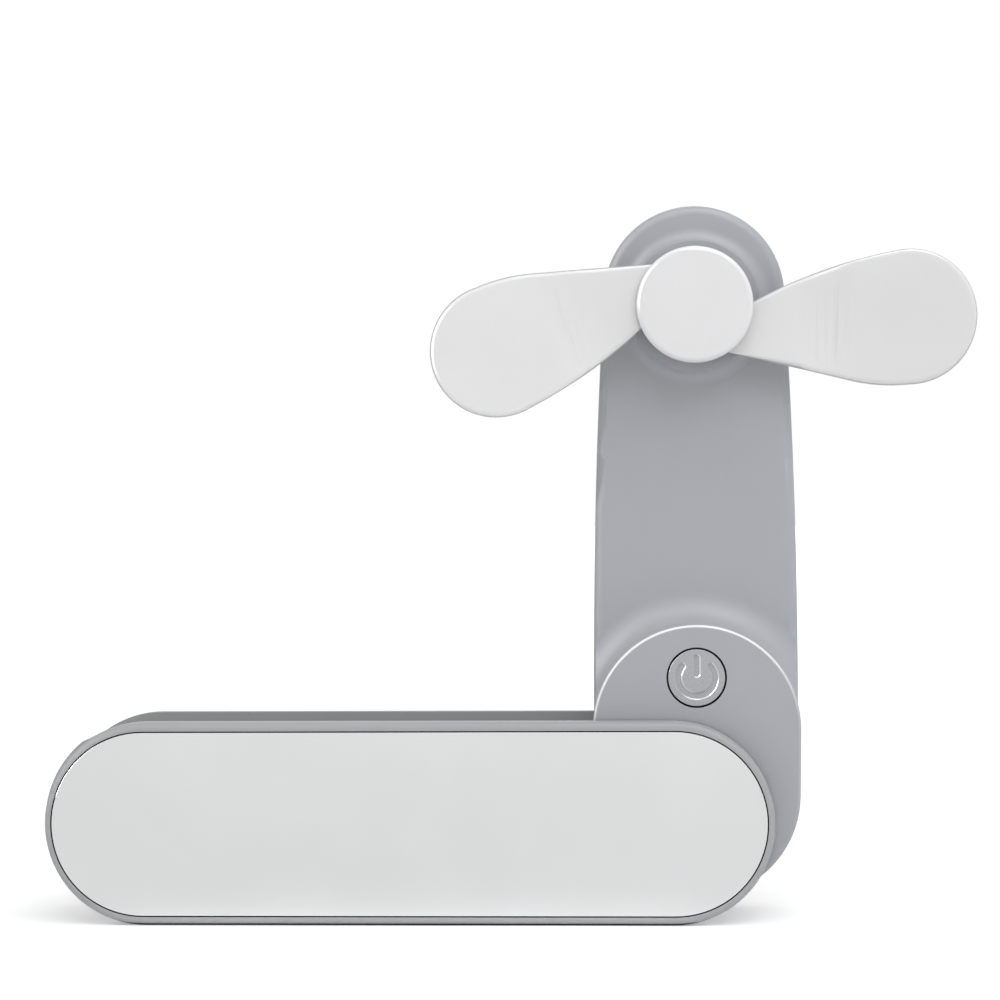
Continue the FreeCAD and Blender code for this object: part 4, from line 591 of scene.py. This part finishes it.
# Each plastic has a colour, a roughness and what sets it apart.
PLASTICS = {
    "plate_plastic": (PLATE_GREY, 0.45, {"gloss": 0.15}),
    # The arm's lift of 1.5 paints a highlight along its edges, on top of wear.
    "arm_plastic": (ARM_GREY, 0.5, {"grain": 0.08, "gloss": 0.3, "lift": 1.5, **ARM_RIM_HIGHLIGHT}),
    "button_plastic": (BUTTON_GREY, 0.25, {"coat": 1.0, **SIGN_WALL_HIGHLIGHT}),
    "white_plastic": (WHITE, 0.22, {"gloss": 0.3, **SMOOTH_WHITE, **BLADE_RIM_LIGHT_AND_SHADE}),
    "cap_plastic": (CAP_WHITE, 0.22, {**SMOOTH_WHITE, **CAP_RIM_HIGHLIGHT}),
    "hub_plastic": (ARM_GREY, 0.45, {}),
    "tape": ((0.75, 0.74, 0.7), 0.8, {"grain_scale": 1200.0}),
    "nylon": ((0.82, 0.82, 0.78), 0.5, {}),
    "switch_plastic": ((0.04, 0.04, 0.04), 0.5, {}),
    "board": ((0.03, 0.2, 0.08), 0.35, {}),
    "red_sleeve": ((0.55, 0.03, 0.03), 0.5, {}),
    "black_sleeve": ((0.02, 0.02, 0.02), 0.5, {}),
}
# Each metal has a colour and a roughness.
METALS = {
    "screw_steel": ((0.55, 0.55, 0.56), 0.35),
    "pin_steel": ((0.62, 0.62, 0.63), 0.25),
    "bright_steel": ((0.72, 0.72, 0.73), 0.2),
    "pouch": ((0.7, 0.7, 0.72), 0.35),
    "magnet": ((0.12, 0.12, 0.12), 0.5),
    "core_steel": ((0.4, 0.4, 0.42), 0.4),
    "copper": ((0.7, 0.36, 0.18), 0.3),
    "bronze": ((0.6, 0.42, 0.2), 0.4),
}
# Nodes that don't take the finish of their slot's name.
OWN_FINISH = {"hub_cap": "cap_plastic"}

FINISHES = {"mirror_glass": mirror_glass("mirror_glass")}
for name, (colour, roughness, extras) in PLASTICS.items():
    FINISHES[name] = moulded_plastic(name, colour, roughness, **extras)
for name, (colour, roughness) in METALS.items():
    FINISHES[name] = turned_metal(name, colour, roughness)


def paint_frame():
    for row in frame["record"]["subparts"]:
        mesh = nodes[row["node"]].data
        finish = FINISHES[OWN_FINISH.get(row["node"], row["material_slot"])]
        if mesh.materials:
            for index in range(len(mesh.materials)):
                mesh.materials[index] = finish
        else:
            mesh.materials.append(finish)


paint_frame()


# ---------------------------------------------------------------- finer pieces

WELD = 0.002 * MM
SAME_DEPTH = 0.02 * MM
FLAT_FOLD = 0.1
SHARP_FOLD = 40
SMOOTH_FOLD = 35
ROUND_PROFILE = 0.5

BLADE_RIM = 1.02 * MM
BLADE_RIM_SEGMENTS = 6
BLADE_RIM_STRETCH = 1.65
BLADE_FLAT_FOLD = 1.5
BLADE_SHARP_FOLD = 50
BLADE_EYE_KEEP = 3.4 * MM
BUTTON_EDGE = 0.08 * MM
BUTTON_EDGE_SEGMENTS = 4
BUTTON_SMOOTH_FOLD = 26
SIGN_REACH = 4.0 * MM
SIGN_GROWTH = 1.06
SIGN_SLOPE = 0.21 * MM
SIGN_STRETCH = 1.7
MIRROR_EDGE = 0.08 * MM
MIRROR_EDGE_SEGMENTS = 2


def select_only(piece):
    bpy.ops.object.select_all(action="DESELECT")
    piece.select_set(True)
    bpy.context.view_layer.objects.active = piece


def middle_of(node):
    low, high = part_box(node)
    return (low + high) / 2


def body_of(node):
    bodies = frame["record"]["behaviour"]["bodies"]
    return next(body for body, members in bodies.items() if node in members)


def any_edge(ends):
    return True


def at_depth(depth):
    """A test for edges that lie at one depth."""
    return lambda ends: all(abs(end.y - depth) < SAME_DEPTH for end in ends)


def within(centre, radius):
    """A test for edges within a radius of an axis that runs front to rear."""
    return lambda ends: all(
        math.hypot(end.x - centre.x, end.z - centre.z) < radius for end in ends
    )


def pick_edges(piece, wanted, fold):
    """Selects, in edit mode, the edges that are folded more than so many degrees and pass."""
    select_only(piece)
    bpy.ops.object.mode_set(mode="EDIT")
    bpy.ops.mesh.select_mode(type="EDGE")
    bpy.ops.mesh.select_all(action="DESELECT")
    bpy.ops.object.mode_set(mode="OBJECT")
    mesh = piece.data
    faces_of = {}
    for face in mesh.polygons:
        for key in face.edge_keys:
            faces_of.setdefault(key, []).append(face)
    for edge in mesh.edges:
        sides = faces_of.get(edge.key, [])
        if len(sides) == 2:
            turn = math.degrees(sides[0].normal.angle(sides[1].normal, 0))
            ends = [mesh.vertices[index].co for index in edge.vertices]
            edge.select = turn > fold and wanted(ends)
    bpy.ops.object.mode_set(mode="EDIT")


def round_edges(piece, width, segments, wanted=any_edge, fold=SHARP_FOLD):
    """Rounds off the edges that are folded sharply and pass the test."""
    pick_edges(piece, wanted, fold)
    bpy.ops.mesh.bevel(
        offset=width, segments=segments, profile=ROUND_PROFILE, clamp_overlap=False
    )
    bpy.ops.object.mode_set(mode="OBJECT")


def stretch_depth(piece, factor):
    """Stretches a piece from front to rear about its own middle."""
    depths = [point.co.y for point in piece.data.vertices]
    middle = (0, (min(depths) + max(depths)) / 2, 0)
    select_only(piece)
    bpy.ops.object.mode_set(mode="EDIT")
    bpy.ops.mesh.select_all(action="SELECT")
    bpy.ops.transform.resize(value=(1, factor, 1), center_override=middle)
    bpy.ops.object.mode_set(mode="OBJECT")


def merged_copy(node, name, flat_fold=FLAT_FOLD):
    """A loose copy of a node with its doubled points merged and its flat faces joined."""
    select_only(nodes[node])
    bpy.ops.object.duplicate()
    piece = bpy.context.object
    piece.name = name
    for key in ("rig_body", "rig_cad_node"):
        del piece[key]
    bpy.ops.object.parent_clear(type="CLEAR_KEEP_TRANSFORM")
    bpy.ops.object.mode_set(mode="EDIT")
    bpy.ops.mesh.select_all(action="SELECT")
    bpy.ops.mesh.remove_doubles(threshold=WELD)
    bpy.ops.mesh.dissolve_limited(angle_limit=math.radians(flat_fold))
    bpy.ops.mesh.customdata_custom_splitnormals_clear()
    bpy.ops.object.mode_set(mode="OBJECT")
    return piece


def keep_flats_flat(piece):
    """Weighs the normals, so that broad flat faces stay flat beside a rounded edge."""
    bpy.ops.object.modifier_add(type="WEIGHTED_NORMAL")
    weights = piece.modifiers[-1]
    weights.keep_sharp = True
    weights.mode = "FACE_AREA_WITH_ANGLE"
    bpy.ops.object.modifier_apply(modifier=weights.name)


def show_instead(piece, node, smooth_fold=SMOOTH_FOLD):
    """Shades a finished copy and shows it in its node's place."""
    select_only(piece)
    bpy.ops.object.shade_smooth_by_angle(angle=math.radians(smooth_fold))
    keep_flats_flat(piece)
    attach(piece, body_of(node))
    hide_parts(node)


def add_blade(node, name, pin):
    """A fan blade with broad oval rims. The root, under the cap, stays as cut."""
    near_eye = within(middle_of(pin), BLADE_EYE_KEEP)
    piece = merged_copy(node, name, BLADE_FLAT_FOLD)
    stretch_depth(piece, BLADE_RIM_STRETCH)
    round_edges(
        piece, BLADE_RIM, BLADE_RIM_SEGMENTS, lambda ends: not near_eye(ends), BLADE_SHARP_FOLD
    )
    stretch_depth(piece, 1 / BLADE_RIM_STRETCH)
    show_instead(piece, node)


def widen_sign(piece, in_sign):
    """Widens the sunk sign about the button's axis."""
    pick_edges(piece, in_sign, SHARP_FOLD)
    bpy.ops.transform.resize(
        value=(SIGN_GROWTH, 1, SIGN_GROWTH), center_override=middle_of("button_cap")
    )
    bpy.ops.object.mode_set(mode="OBJECT")


def add_button():
    """The button, with a soft rim and sloping walls to its sunk sign."""
    piece = merged_copy("button_cap", "button_cap_finished")
    on_face = at_depth(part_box("button_cap")[0].y)
    in_sign = within(middle_of("button_cap"), SIGN_REACH)
    widen_sign(piece, in_sign)
    round_edges(
        piece, BUTTON_EDGE, BUTTON_EDGE_SEGMENTS, lambda ends: on_face(ends) and not in_sign(ends)
    )
    stretch_depth(piece, SIGN_STRETCH)
    on_stretched_face = at_depth(min(point.co.y for point in piece.data.vertices))
    round_edges(piece, SIGN_SLOPE, 1, lambda ends: on_stretched_face(ends) and in_sign(ends))
    stretch_depth(piece, 1 / SIGN_STRETCH)
    show_instead(piece, "button_cap", BUTTON_SMOOTH_FOLD)


def add_mirror():
    """The mirror, with a fine ground edge."""
    piece = merged_copy("mirror", "mirror_pane")
    round_edges(piece, MIRROR_EDGE, MIRROR_EDGE_SEGMENTS)
    show_instead(piece, "mirror")


add_blade("left_blade", "left_blade_finished", "front_blade_pin")
add_blade("right_blade", "right_blade_finished", "rear_blade_pin")
add_button()
add_mirror()
